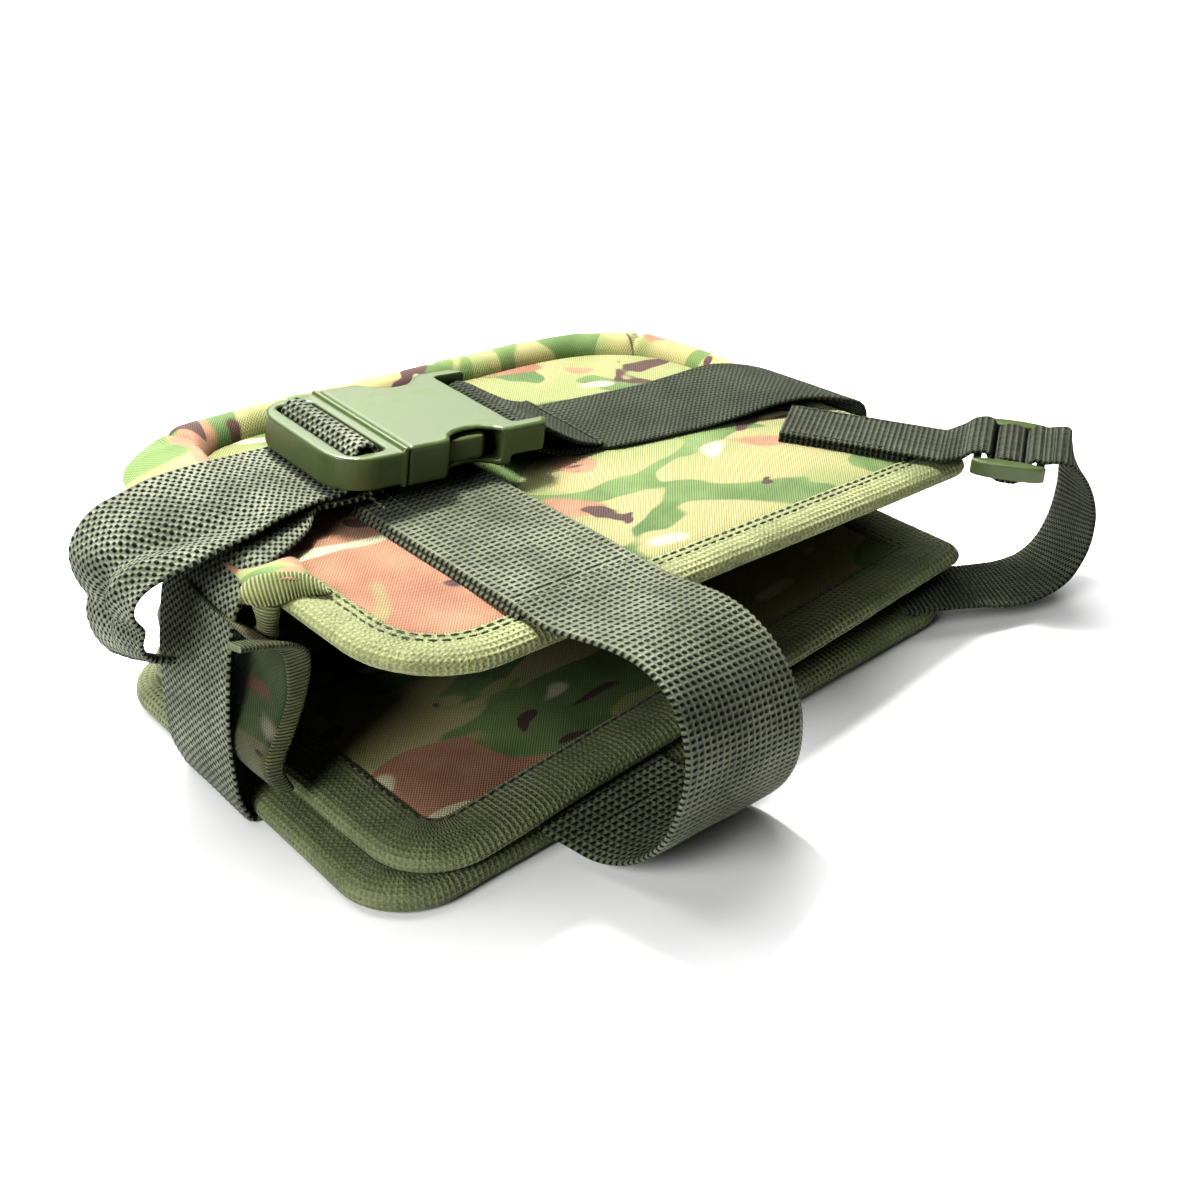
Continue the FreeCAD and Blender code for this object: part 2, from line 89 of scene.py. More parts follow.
def build_mesh(name, points, faces, uv=None, material=None):
    """A smooth-shaded object from points in millimetres."""
    mesh = bpy.data.meshes.new(name)
    points = np.asarray(points, float) * MM
    mesh.vertices.add(len(points))
    mesh.vertices.foreach_set("co", points.reshape(-1))
    sizes = np.array([len(f) for f in faces])
    corners = np.concatenate([np.asarray(f) for f in faces])
    mesh.loops.add(len(corners))
    mesh.loops.foreach_set("vertex_index", corners)
    mesh.polygons.add(len(faces))
    mesh.polygons.foreach_set("loop_start", np.concatenate([[0], np.cumsum(sizes)[:-1]]))
    mesh.update(calc_edges=True)
    mesh.validate()
    mesh.shade_smooth()
    if uv is not None:
        layer = mesh.uv_layers.new(name="weave")
        layer.data.foreach_set("uv", np.asarray(uv, float)[corners].reshape(-1))
    obj = bpy.data.objects.new(name, mesh)
    bpy.context.scene.collection.objects.link(obj)
    if material is not None:
        mesh.materials.append(material)
    return obj


def tube_faces(rows, columns, capped):
    """Faces of a grid of rows whose columns close on themselves."""
    row = np.arange(rows - 1)[:, None] * columns
    column = np.arange(columns)[None, :]
    after = (column + 1) % columns
    quads = np.stack([row + column, row + after, row + columns + after, row + columns + column], -1)
    faces = list(quads.reshape(-1, 4))
    if capped:
        for base, flip in ((0, True), ((rows - 1) * columns, False)):
            for i in range(columns // 2 - 1):
                quad = [base + i, base + i + 1, base + columns - 2 - i, base + columns - 1 - i]
                faces.append(quad if flip else quad[::-1])
    return faces


def catmull(points, per_span):
    """Smooth curve through points of any size."""
    p = np.asarray(points, float)
    padded = np.concatenate([p[:1], p, p[-1:]])
    out = []
    for i in range(1, len(padded) - 2):
        a, b, c, d = padded[i - 1:i + 3]
        t = (np.arange(per_span) / per_span)[:, None]
        out.append(0.5 * (2 * b + (c - a) * t + (2 * a - 5 * b + 4 * c - d) * t ** 2
                          + (3 * b - a - 3 * c + d) * t ** 3))
    out.append(p[-1:])
    return np.concatenate(out)


def even_steps(path, centre, step):
    """The same path at even distances along its centre line, and those distances."""
    lengths = np.linalg.norm(np.diff(centre, axis=0), axis=1)
    total = np.concatenate([[0], np.cumsum(lengths)])
    count = max(int(round(total[-1] / step)), 4)
    at = np.linspace(0, total[-1], count + 1)
    return np.stack([np.interp(at, total, column) for column in path.T], -1), at


def unit(vectors):
    return vectors / np.maximum(np.linalg.norm(vectors, axis=-1, keepdims=True), 1e-9)


def weave_height(u, v, cell):
    """1 on a raised yarn, 0 in the gap beside it, for a plain weave."""
    return 0.5 + 0.5 * np.cos(np.pi * u / cell[0]) * np.cos(np.pi * v / cell[1])


def soft_noise(points, size, seed):
    """Slow noise from -1 to 1 at each point."""
    shift = Vector((seed * 7.31, seed * 3.17, seed * 1.73))
    return np.array([noise.noise(Vector(p) / size + shift) for p in points])


def grid_noise(grid, size, seed, stride=8):
    """Slow noise over a grid of points, worked out at every eighth row and column and filled in between."""
    coarse = grid[::stride, ::stride]
    values = soft_noise(coarse.reshape(-1, 3), size, seed).reshape(coarse.shape[:2])
    rows, columns = grid.shape[:2]
    tall = np.array([np.interp(np.arange(rows), np.arange(0, rows, stride), line) for line in values.T])
    known = np.arange(0, columns, stride)
    return np.array([np.interp(np.arange(columns), known, line) for line in tall.T])


# How a strap is woven: material, yarn spacing over and along it, relief of the yarns, and mesh step.
Weave = namedtuple("Weave", "material cell relief step")


def ribbon(name, rails, weave, seed=1, sway=0.25, thickness=WEB, bend=None, slot="webbing"):
    """Woven webbing between two edge curves, with its weave in the mesh."""
    fine = catmull(rails, 24)
    path, v = even_steps(fine, (fine[:, :3] + fine[:, 3:]) / 2, weave.step)
    left = path[:, :3]
    right = path[:, 3:]
    width = float(np.linalg.norm(right - left, axis=1).mean())
    along = unit(np.gradient((left + right) / 2, axis=0))
    normal = unit(np.cross(along, unit(right - left)))[:, None, :]
    columns = int(round(width / weave.step)) + 1
    u = np.linspace(0, width, columns)
    edge = np.minimum(u, width - u)
    body = thickness / 2 * (0.35 + 0.65 * np.sqrt(1 - (1 - np.minimum(edge / 1.3, 1)) ** 2))[None, :]
    share = (u / width)[None, :, None]
    sheet = left[:, None, :] * (1 - share) + right[:, None, :] * share
    yarns = weave_height(u[None, :], v[:, None], weave.cell) * np.minimum(edge, 1)[None, :]
    ribs = (0.5 + 0.5 * np.cos(np.pi * v / weave.cell[1]))[:, None]
    height = (yarns * 0.62 + ribs * 0.38 - 0.5) * weave.relief
    if bend is not None:
        sheet = sheet + normal * bend(u[None, :], v[:, None] / v[-1])[..., None]
    if sway:
        fade = np.clip(np.minimum(v, v[-1] - v) / 8, 0, 1)[:, None]
        sheet = sheet + normal * (grid_noise(sheet, 16, seed) * fade * sway)[..., None]
    upper = sheet + normal * (body + height)[..., None]
    lower = sheet - normal * (body - height * 0.8)[..., None]
    grid = np.concatenate([upper, lower[:, ::-1]], axis=1)
    uv = np.stack(np.broadcast_arrays(np.concatenate([u, u[::-1]])[None, :], v[:, None]), -1)
    faces = tube_faces(len(grid), grid.shape[1], True)
    obj = build_mesh(name, grid.reshape(-1, 3), faces, uv.reshape(-1, 2), weave.material)
    return obj


def carried(piece, body, *nodes):
    """Ties a piece to one body, and hides the CAD nodes it stands for, if any."""
    if nodes:
        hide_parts(*nodes)
    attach(piece, body)


def bridging(piece, first, second, start, end, *nodes):
    """For a piece that bends between two bodies: hides the CAD nodes it stands for and bakes its placement
    into its mesh, tied to neither body; the two bodies and the points from one to another are not used.
    """
    if nodes:
        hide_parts(*nodes)
    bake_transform(piece)


def ride_ribbon(name, rails, weave, body, *nodes, **how):
    carried(ribbon(name, rails, weave, **how), body, *nodes)


def bent_ribbon(name, rails, weave, bodies, ends, *nodes, **how):
    bridging(ribbon(name, rails, weave, **how), *bodies, *ends, *nodes)


# ------------------------------------------------------------------ panel outlines


def rectangle(length, depth, radii):
    """Corners of a rectangle, from the front left round to the back left, each with its radius."""
    hx = length / 2
    hy = depth / 2
    signs = ((-1, -1), (1, -1), (1, 1), (-1, 1))
    return [(x * hx, y * hy, r) for (x, y), r in zip(signs, radii)]


TOP_CORNERS = [(-112.5, -75.5, 30), (113.0, -75.5, 10), (95.5, 75.5, 38), (-112.5, 75.5, 30)]
MIDDLE_CORNERS = rectangle(222, 149, (23, 7, 20, 20))
BASE_CORNERS = rectangle(225, 151, (22, 18, 20, 20))


def outline(corners, inset, arc_points, side_points):
    """Closed outline of a rounded polygon drawn inwards; every inset has the same number of points."""
    count = len(corners)
    tips = []
    for i in range(count):
        here = np.array(corners[i][:2], float)
        into = unit(here - np.array(corners[i - 1][:2]))
        away = unit(np.array(corners[(i + 1) % count][:2]) - here)
        turn = into[0] * away[1] - into[1] * away[0]
        tips.append(here + (away - into) * inset / turn)
    arcs = []
    for i in range(count):
        radius = max(corners[i][2] - inset, 0.4)
        back = unit(tips[i - 1] - tips[i])
        ahead = unit(tips[(i + 1) % count] - tips[i])
        half = math.acos(np.clip(back @ ahead, -1, 1)) / 2
        centre = tips[i] + unit(back + ahead) * radius / math.sin(half)
        reach = radius / math.tan(half)
        a = tips[i] + back * reach - centre
        b = tips[i] + ahead * reach - centre
        angle_a = math.atan2(a[1], a[0])
        sweep = (math.atan2(b[1], b[0]) - angle_a + math.pi) % (2 * math.pi) - math.pi
        turns = angle_a + sweep * np.linspace(0, 1, arc_points)
        arcs.append(centre + radius * np.stack([np.cos(turns), np.sin(turns)], -1))
    points = []
    for i in range(count):
        points.append(arcs[i])
        share = np.linspace(0, 1, side_points + 2)[1:-1, None]
        points.append(arcs[i][-1] * (1 - share) + arcs[(i + 1) % count][0] * share)
    return np.concatenate(points)


COVER_REACH = 15.0  # from the rim's middle line to where the top cover ends
COVER_SHIFT = 7.5  # how much further out than the tape's inner edge it runs there
COVER_RISE = 1.3  # and how high over the tape
RIM_END_POINTS = 10  # path points left out at the rim's free end


def beside_rim(points):
    """1 where the top cover runs on under the padded rim, 0 elsewhere."""
    path = catmull([(x, y) for x, y, *_ in RIM_PATH], 6)[RIM_END_POINTS:]
    away = np.min(np.linalg.norm(points[:, None, :] - path[None, :, :], axis=2), axis=1)
    return np.clip((COVER_REACH - away) / 1.2, 0, 1)


def fabric_face(name, corners, frame_at, side, tape, material, crown, seed, over=False):
    """One stretched, slightly crowned face of a padded panel, tucked under the binding."""
    insets = [tape + d for d in (-2.5, -0.3, 0.8, 3, 7, 12, 18, 25, 33, 42, 50)] + [69]
    rings = []
    for inset in insets:
        ring = outline(corners, inset, 10, 40)
        rise = crown * (1 - math.exp(-max(inset - tape, 0) / 8)) - (0.4 if inset < tape else 0)
        wave = soft_noise(np.c_[ring, np.zeros(len(ring))], 30, seed) * 0.35
        puff = np.minimum(max(inset - tape, 0) / 6, 1)
        level = side * (PANEL_HALF + rise + wave * puff)
        if over and inset < tape + 4:
            share = beside_rim(ring)
            outer = outline(corners, inset - COVER_SHIFT, 10, 40)
            ring = ring * (1 - share[:, None]) + outer * share[:, None]
            level = level + np.minimum(share * 4, 1) * COVER_RISE * min((tape + 4 - inset) / 2, 1)
        rings.append(np.c_[ring, level])
    count = len(rings[0])
    faces = tube_faces(len(rings), count, False)
    faces.append([(len(rings) - 1) * count + i for i in range(count)])
    if side < 0:
        faces = [list(face)[::-1] for face in faces]
    local = np.concatenate(rings)
    return build_mesh(name, to_frame(local, frame_at), faces, local[:, :2], material)


TAPE_PITCH = 1.8  # of the ribs in the binding tape


def binding(name, corners, frame_at, profile, material, seed):
    """Folded tape swept round a panel: profile is (distance in from the edge, height) from top to bottom."""
    profile = np.asarray(profile, float)
    steps = np.concatenate([[0], np.cumsum(np.linalg.norm(np.diff(profile, axis=0), axis=1))])
    at = np.linspace(0, steps[-1], int(steps[-1]))
    fine = np.stack([np.interp(at, steps, profile[:, 0]), np.interp(at, steps, profile[:, 1])], -1)
    rim = outline(corners, 0, 44, 130)
    inward = outline(corners, 1, 44, 130) - rim
    spans = np.linalg.norm(np.roll(rim, -1, axis=0) - rim, axis=1)
    around = np.concatenate([[0], np.cumsum(spans)])
    around *= round(around[-1] / TAPE_PITCH) * TAPE_PITCH / around[-1]
    pucker = soft_noise(np.c_[rim, np.zeros(len(rim))], 6, seed) * 0.3
    waver = soft_noise(np.c_[rim, np.zeros(len(rim))], 22, seed + 3) * 0.35
    rings = []
    for inset, height in fine:
        puff = min(inset / 6, 1) * (1 - 0.6 * min(inset / 17, 1))
        ring = outline(corners, max(inset, 0), 44, 130) + inward * (waver * 0.6)[:, None]
        rings.append(np.c_[ring, height + np.sign(height) * pucker * puff])
    grid = np.stack(rings + [(rings[0] + rings[-1]) / 2], 1)
    closed = np.concatenate([grid, grid[:1]], 0)
    uv_v = np.concatenate([at, [at[-1] + 3]])
    uv = np.stack(np.broadcast_arrays(around[:, None], uv_v[None, :]), -1)
    faces = tube_faces(*closed.shape[:2], False)
    obj = build_mesh(name, to_frame(closed.reshape(-1, 3), frame_at), faces, uv.reshape(-1, 2), material)
    weld = obj.modifiers.new("join", "WELD")
    weld.merge_threshold = 0.00001
    apply_modifiers(obj)
    obj.data.shade_smooth()
    return obj


STITCH_SHAPE = ((0.0, 0.35), (0.14, 0.9), (0.5, 1.15), (0.86, 0.9), (1.0, 0.35))  # share of its length, size
STITCH_SIDES = 6


def stitch_row(name, points, up, length=2.3, gap=1.1, radius=0.26, closed=False):
    """A row of separate thread stitches along a path."""
    points = np.asarray(points, float)
    if closed:
        points = np.concatenate([points, points[:1]])
    even, at = even_steps(points, points, 0.35)
    ends = (len(STITCH_SHAPE) - 1) * STITCH_SIDES
    one = tube_faces(len(STITCH_SHAPE), STITCH_SIDES, False)
    one += [list(range(STITCH_SIDES))[::-1], [ends + s for s in range(STITCH_SIDES)]]
    verts = []
    faces = []
    for k in range(int(at[-1] / (length + gap))):
        first = k * (length + gap)
        faces += [[len(verts) + i for i in face] for face in one]
        a, b = (np.array([np.interp(where, at, c) for c in even.T]) for where in (first, first + length))
        side = unit(np.cross(unit(b - a), up))
        for share, size in STITCH_SHAPE:
            centre = a * (1 - share) + b * share + up * radius * (0.1 + 0.5 * math.sin(math.pi * share))
            for s in range(STITCH_SIDES):
                turn = math.tau * s / STITCH_SIDES
                verts.append(centre + (side * math.cos(turn) + up * math.sin(turn) * 0.8) * radius * size)
    obj = build_mesh(name, np.array(verts), faces, None, THREAD)
    return obj


def up_of(matrix):
    """The direction across a frame's flat side."""
    return unit(np.array(matrix.to_3x3() @ Vector((0, 0, 1))))


# ------------------------------------------------------------------ material helpers


class Shader:
    """A material with a few short words for making and linking nodes."""

    def __init__(self, name, roughness, colour=(0.5, 0.5, 0.5), **sockets):
        self.material = bpy.data.materials.new(name)
        self.material.use_nodes = True
        self.tree = self.material.node_tree
        self.bsdf = self.tree.nodes["Principled BSDF"]
        self.bsdf.inputs["Roughness"].default_value = roughness
        self.bsdf.inputs["Base Color"].default_value = (*colour, 1)
        for key, value in sockets.items():
            self.bsdf.inputs[key.replace("_", " ")].default_value = value

    def add(self, kind, inputs=(), **settings):
        node = self.tree.nodes.new("ShaderNode" + kind)
        for key, value in settings.items():
            setattr(node, key, value)
        for key, value in dict(inputs).items():
            if isinstance(value, bpy.types.NodeSocket):
                self.tree.links.new(value, node.inputs[key])
            else:
                node.inputs[key].default_value = value
        return node

    def math(self, operation, a, b=0.0):
        return self.add("Math", {0: a, 1: b}, operation=operation).outputs[0]

    def wave(self, value, pitch):
        return self.math("COSINE", self.math("MULTIPLY", value, 2 * math.pi / pitch))

    def tone(self, uv, scale, size, detail, roughness=0.5):
        return self.noise(self.shifted(uv, scale=(scale, scale, scale)), size, detail, roughness)

    def step(self, value, low, high, to_low=0.0, to_high=1.0):
        inputs = {"Value": value, "From Min": low, "From Max": high, "To Min": to_low, "To Max": to_high}
        return self.add("MapRange", inputs, interpolation_type="SMOOTHSTEP").outputs[0]

    def mix(self, share, a, b, blend="MIX"):
        node = self.add("Mix", {0: share}, data_type="RGBA", blend_type=blend)
        for index, value in ((6, a), (7, b)):
            if isinstance(value, bpy.types.NodeSocket):
                self.tree.links.new(value, node.inputs[index])
            else:
                node.inputs[index].default_value = (*value, 1)
        return node.outputs[2]

    def noise(self, vector, scale, detail=2.0, roughness=0.5, distortion=0.0):
        inputs = {"Vector": vector, "Scale": scale, "Detail": detail, "Roughness": roughness,
                  "Distortion": distortion}
        return self.add("TexNoise", inputs).outputs[0]

    def place(self):
        return self.add("TexCoord").outputs["Object"]

    def uv(self):
        return self.add("UVMap", uv_map="weave").outputs[0]

    def shifted(self, vector, location=(0, 0, 0), scale=(1, 1, 1), turn=0.0):
        inputs = {"Vector": vector, "Location": location, "Scale": scale, "Rotation": (0, 0, turn)}
        return self.add("Mapping", inputs).outputs[0]

    def link(self, socket, name):
        self.tree.links.new(socket, self.bsdf.inputs[name])

    def bump(self, height, strength, distance):
        inputs = {"Height": height, "Strength": strength, "Distance": distance}
        self.link(self.add("Bump", inputs).outputs[0], "Normal")

    def split(self, uv):
        return self.add("SeparateXYZ", {0: uv}).outputs

    def weave(self, uv, cell):
        """-1 to 1 over a plain weave of that cell size in millimetres."""
        parts = self.split(uv)
        return self.math("MULTIPLY", self.wave(parts[0], 2 * cell[0]), self.wave(parts[1], 2 * cell[1]))


def webbing_material(name, yarn, shade, gap, pale, cell, open_at, full_at, ribbing):
    """Coarse plain-woven webbing: light yarns over small dark gaps, fine filaments, ribs and soft wear."""
    s = Shader(name, 0.72, Specular_IOR_Level=0.3, Sheen_Weight=0.12, Sheen_Roughness=0.4)
    uv = s.uv()
    rib = s.wave(s.split(uv)[1], 2 * cell[1])
    fray = s.math("SUBTRACT", s.noise(uv, 1.3, 2), 0.5)
    level = s.math("ADD", s.weave(uv, cell), s.math("MULTIPLY", rib, ribbing))
    level = s.math("ADD", level, s.math("MULTIPLY", fray, 0.7))
    cover = s.step(level, open_at, full_at)
    tone = s.step(s.tone(uv, 0.03, 1.3, 4, 0.65), 0.3, 0.72)
    filament = s.noise(s.shifted(uv, scale=(5.5, 1.1, 1), turn=0.45), 1.0, 1)
    yarns = s.mix(tone, shade, s.mix(s.step(filament, 0.3, 0.7, 0.0, 0.5), yarn, pale))
    s.link(s.mix(cover, gap, yarns), "Base Color")
    s.bump(s.math("ADD", s.math("MULTIPLY", level, 0.7), s.math("MULTIPLY", filament, 0.45)), 0.9, 0.0005)
    s.link(s.step(cover, 0, 1, 0.95, 0.6), "Roughness")
    return s.material


def ribbed_material(name, yarn, shade, gap):
    """Grosgrain: plain ribs straight across the tape."""
    s = Shader(name, 0.7, Specular_IOR_Level=0.3, Sheen_Weight=0.15, Sheen_Roughness=0.4)
    uv = s.uv()
    ribs = s.wave(s.split(uv)[1], 1.0)
    fray = s.math("SUBTRACT", s.noise(uv, 1.6, 2), 0.5)
    level = s.math("ADD", ribs, s.math("MULTIPLY", fray, 0.8))
    cover = s.step(level, -1.1, 0.5)
    tone = s.step(s.tone(uv, 0.04, 1.0, 3), 0.3, 0.7)
    s.link(s.mix(cover, gap, s.mix(tone, shade, yarn)), "Base Color")
    s.bump(level, 0.8, 0.0004)
    s.link(s.step(cover, 0, 1, 0.9, 0.6), "Roughness")
    return s.material


def tape_material(name, yarn, shade, gap):
    """Ribbed binding tape: light ridges both ways round small dark holes, softened by fraying."""
    s = Shader(name, 0.7, Specular_IOR_Level=0.3, Sheen_Weight=0.15, Sheen_Roughness=0.4)
    uv = s.uv()
    parts = s.split(uv)
    ridge = s.math("MAXIMUM", s.wave(parts[0], TAPE_PITCH), s.wave(parts[1], TAPE_PITCH))
    beads = s.weave(uv, (TAPE_PITCH / 2, TAPE_PITCH / 2))
    fray = s.math("SUBTRACT", s.noise(uv, 1.5, 2), 0.5)
    soft = s.step(s.tone(uv, 0.02, 1.5, 2), 0.35, 0.65, 0.25, 0.8)
    level = s.math("ADD", s.math("MULTIPLY", ridge, soft), s.math("MULTIPLY", beads, 0.4))
    level = s.math("ADD", level, s.math("MULTIPLY", fray, 0.9))
    cover = s.step(level, -0.65, 0.25)
    tone = s.step(s.tone(uv, 0.03, 1.0, 4, 0.65), 0.3, 0.7)
    s.link(s.mix(cover, gap, s.mix(tone, shade, yarn)), "Base Color")
    s.bump(level, 0.9, 0.00045)
    s.link(s.step(cover, 0, 1, 0.92, 0.62), "Roughness")
    return s.material


def camouflage_material(name, shift, pink_side=None, light=1.0, pinker=0.0):
    """Printed camouflage on a fine oxford weave: layered blotches with crisp printed edges."""
    s = Shader(name, 0.62, Specular_IOR_Level=0.3, Sheen_Weight=0.1, Sheen_Roughness=0.45)
    uv = s.uv()
    place = s.shifted(uv, location=shift, scale=(0.001, 0.001, 0.001))
    wide = s.shifted(place, scale=(1.0, 1.7, 1.0), turn=-0.35)

    def colour(*rgb):
        return tuple(c * light for c in rgb)

    def layer(location, scale, low, high, distortion=0.5, detail=2.2, raise_by=None):
        field = s.noise(s.shifted(wide, location=location), scale, detail, 0.45, distortion)
        if raise_by is not None:
            field = s.math("ADD", field, raise_by)
        return s.step(field, low, high)

    ground = s.mix(layer((0.3, 0.8, 0), 16, 0.42, 0.60), colour(0.50, 0.46, 0.23), colour(0.37, 0.41, 0.18))
    shade_in_green = s.step(s.noise(place, 30, 3, 0.6), 0.3, 0.7)
    greens = s.mix(shade_in_green, colour(0.14, 0.23, 0.08), colour(0.26, 0.36, 0.14))
    ground = s.mix(layer((3.1, 1.7, 0), 19, 0.525, 0.545, 0.7), ground, greens)
    near = None
    if pink_side is not None:
        centre, reach = pink_side
        away = s.add("VectorMath", {0: uv, 1: (*centre, 0)}, operation="DISTANCE").outputs[1]
        near = s.step(away, reach * 0.75, reach, 0.26, -0.08)
    elif pinker:
        near = s.step(s.noise(place, 9, 1), 0.3, 0.7, 0.0, pinker)
    pinks = s.mix(shade_in_green, colour(0.40, 0.20, 0.125), colour(0.56, 0.335, 0.215))
    ground = s.mix(layer((7.7, 4.2, 0), 15, 0.600, 0.612, 0.4, 1.6, near), ground, pinks)
    ground = s.mix(layer((1.3, 9.4, 0), 27, 0.645, 0.662, 1.1, 1.6), ground, colour(0.13, 0.075, 0.065))
    stretched = s.shifted(place, location=(5.2, 2.9, 0), scale=(1.0, 2.1, 1), turn=0.15)
    ovals = s.noise(stretched, 34, 0.4, 0.3, 0.2)
    if not pinker:
        ground = s.mix(s.step(ovals, 0.67, 0.72), ground, colour(0.74, 0.70, 0.47))
    weave = s.weave(uv, (0.5, 0.5))
    thread = s.step(weave, -0.9, 0.5, 0.66, 1.06)
    grey = s.add("CombineColor", {0: thread, 1: thread, 2: thread}).outputs[0]
    s.link(s.mix(1.0, ground, grey, "MULTIPLY"), "Base Color")
    slub = s.noise(s.shifted(uv, scale=(0.4, 4, 1)), 1.4, 2)
    height = s.math("ADD", s.math("MULTIPLY", weave, 0.75), s.math("MULTIPLY", slub, 0.35))
    s.bump(height, 0.6, 0.0003)
    s.link(s.step(weave, -1, 1, 0.8, 0.58), "Roughness")
    return s.material


def plastic_material(name, colour):
    """Satin moulded plastic with a fine spark-eroded texture and rubbed spots."""
    s = Shader(name, 0.36, Specular_IOR_Level=0.5, Coat_Weight=0.08, Coat_Roughness=0.25)
    place = s.place()
    grain = s.noise(place, 1600, 2)
    rub = s.step(s.noise(place, 55, 4, 0.65), 0.45, 0.75)
    darker = tuple(c * 0.82 for c in colour)
    s.link(s.mix(rub, darker, colour), "Base Color")
    s.link(s.step(rub, 0, 1, 0.30, 0.44), "Roughness")
    s.bump(grain, 0.12, 0.0002)
    return s.material


def thread_material(name, colour):
    s = Shader(name, 0.6, Sheen_Weight=0.3)
    place = s.place()
    twist = s.add("TexWave", {"Vector": place, "Scale": 700.0, "Distortion": 2.0}).outputs[1]
    s.link(s.mix(twist, tuple(c * 0.6 for c in colour), colour), "Base Color")
    s.bump(twist, 0.4, 0.0002)
    return s.material


# Webbing: yarn, shade, gap and pale filament colours, cell, where the yarns open and close, ribbing.
# Painted light: the belt webbing made several times lighter than its shaded copy below, for the light on the
# belt's left run.
WEBBING_PAINTED_LIGHT = webbing_material(
    "webbing", (0.22, 0.24, 0.17), (0.11, 0.125, 0.08), (0.005, 0.007, 0.003), (0.42, 0.44, 0.34),
    (1.3, 1.2), -0.55, 0.25, 0.3)
WEBBING_PALE = webbing_material(
    "webbing_front", (0.155, 0.172, 0.11), (0.092, 0.105, 0.062), (0.006, 0.009, 0.004), (0.33, 0.35, 0.25),
    (1.25, 1.0), -0.85, 0.1, 1.0)
# Painted shade: the same belt webbing made several times darker for the belt's shaded right run and its
# underside.
WEBBING_PAINTED_SHADE = webbing_material(
    "webbing_belt_painted_shade", (0.038, 0.048, 0.022), (0.020, 0.027, 0.012), (0.004, 0.006, 0.003), (0.07, 0.085, 0.045),
    (0.95, 0.9), -0.9, 0.0, 0.3)
WEBBING_CORNER = webbing_material(
    "webbing_corner", (0.080, 0.093, 0.053), (0.045, 0.055, 0.030), (0.005, 0.007, 0.003),
    (0.16, 0.175, 0.11), (0.6, 0.85), -1.3, 0.3, 1.4)
TAPE = tape_material("tape", (0.23, 0.25, 0.135), (0.13, 0.15, 0.075), (0.008, 0.012, 0.005))
# Painted light: the top panel's copy of the same olive binding tape, made lighter for the light falling on
# the top.
TAPE_PAINTED_LIGHT = tape_material("tape_painted_light", (0.32, 0.34, 0.17), (0.19, 0.21, 0.10), (0.014, 0.019, 0.008))
TAPE_RIB = ribbed_material("tape_ribbed", (0.36, 0.38, 0.18), (0.25, 0.28, 0.12), (0.10, 0.115, 0.05))
# Painted shade: a darker copy of the ribbed tape for the gusset edge tapes in the shadow under the top flap.
TAPE_PAINTED_SHADE = ribbed_material("tape_ribbed_painted_shade", (0.15, 0.165, 0.075), (0.06, 0.07, 0.03), (0.02, 0.024, 0.01))
CAMO_TOP = camouflage_material("camouflage_top", (0.0, 0.0, 0.0), ((-84.0, -38.0), 58.0), 0.68)
CAMO_MIDDLE = camouflage_material("camouflage_middle", (0.31, 0.12, 0.4), ((-88.0, -52.0), 26.0), 0.6)
CAMO_BASE = camouflage_material("camouflage_base", (0.62, 0.45, 0.8), None, 0.6)
# Painted shade: the gusset walls' camouflage darkened to a fifth for the shade inside the pouch.
CAMO_PAINTED_SHADE = camouflage_material("camouflage_gusset_painted_shade", (0.22, 0.35, 0.8), None, 0.2)
# The top panel's lining: its own camouflage print, darkened further with painted shade of the pouch's inside.
LINING_PAINTED_SHADE = camouflage_material("lining", (0.9, 0.2, 0.1), None, 0.12)
CAMO_RIM = camouflage_material("camouflage_rim", (0.13, 0.665, 0.2), None, 0.78, pinker=0.03)
PLASTIC = plastic_material("moulded_plastic", (0.092, 0.125, 0.048))
THREAD = thread_material("thread", (0.07, 0.085, 0.04))

# The belt's left run and free end, in the belt webbing with painted light.
BELT_PAINTED_LIGHT_WEAVE = Weave(WEBBING_PAINTED_LIGHT, (1.3, 1.2), 0.42, 0.6)
# The belt's underside and right run, in the belt webbing with painted shade.
UNDERSIDE_PAINTED_SHADE_WEAVE = Weave(WEBBING_PAINTED_SHADE, (1.3, 1.2), 0.1, 1.05)
RIGHT_PAINTED_SHADE_WEAVE = Weave(WEBBING_PAINTED_SHADE, (0.95, 0.9), 0.16, 0.6)
CUT_WEAVE = Weave(WEBBING_PALE, (0.5, 0.6), 0.2, 0.4)
FRONT_WEAVE = Weave(WEBBING_PALE, (1.25, 1.0), 0.42, 0.6)
CORNER_WEAVE = Weave(WEBBING_CORNER, (0.85, 0.85), 0.2, 0.45)
RIM_WEAVE = Weave(TAPE_RIB, (0.7, 0.7), 0.1, 0.55)
# The gusset edge tapes, in the ribbed tape with painted shade.
EDGE_PAINTED_SHADE_WEAVE = Weave(TAPE_PAINTED_SHADE, (0.7, 0.7), 0.08, 0.55)
FOLD_PAINTED_SHADE_WEAVE = Weave(TAPE_PAINTED_SHADE, (0.7, 0.7), 0.1, 0.55)


# ------------------------------------------------------------------ panels


def tape_profile(width, top, bottom):
    """Folded tape over a panel edge: in along the top, round the edge, back along the bottom."""
    return [
        (width, top - 0.5), (width, top), (width * 0.7, top + 0.25), (width * 0.4, top + 0.3),
        (3.5, top + 0.1), (1.6, top - 0.7), (0.5, top - 1.8), (0.05, (top + bottom) / 2),
        (0.5, bottom + 1.8), (1.6, bottom + 0.6), (3.5, bottom + 0.05), (width * 0.6, bottom),
        (width, bottom), (width, bottom + 0.5)]


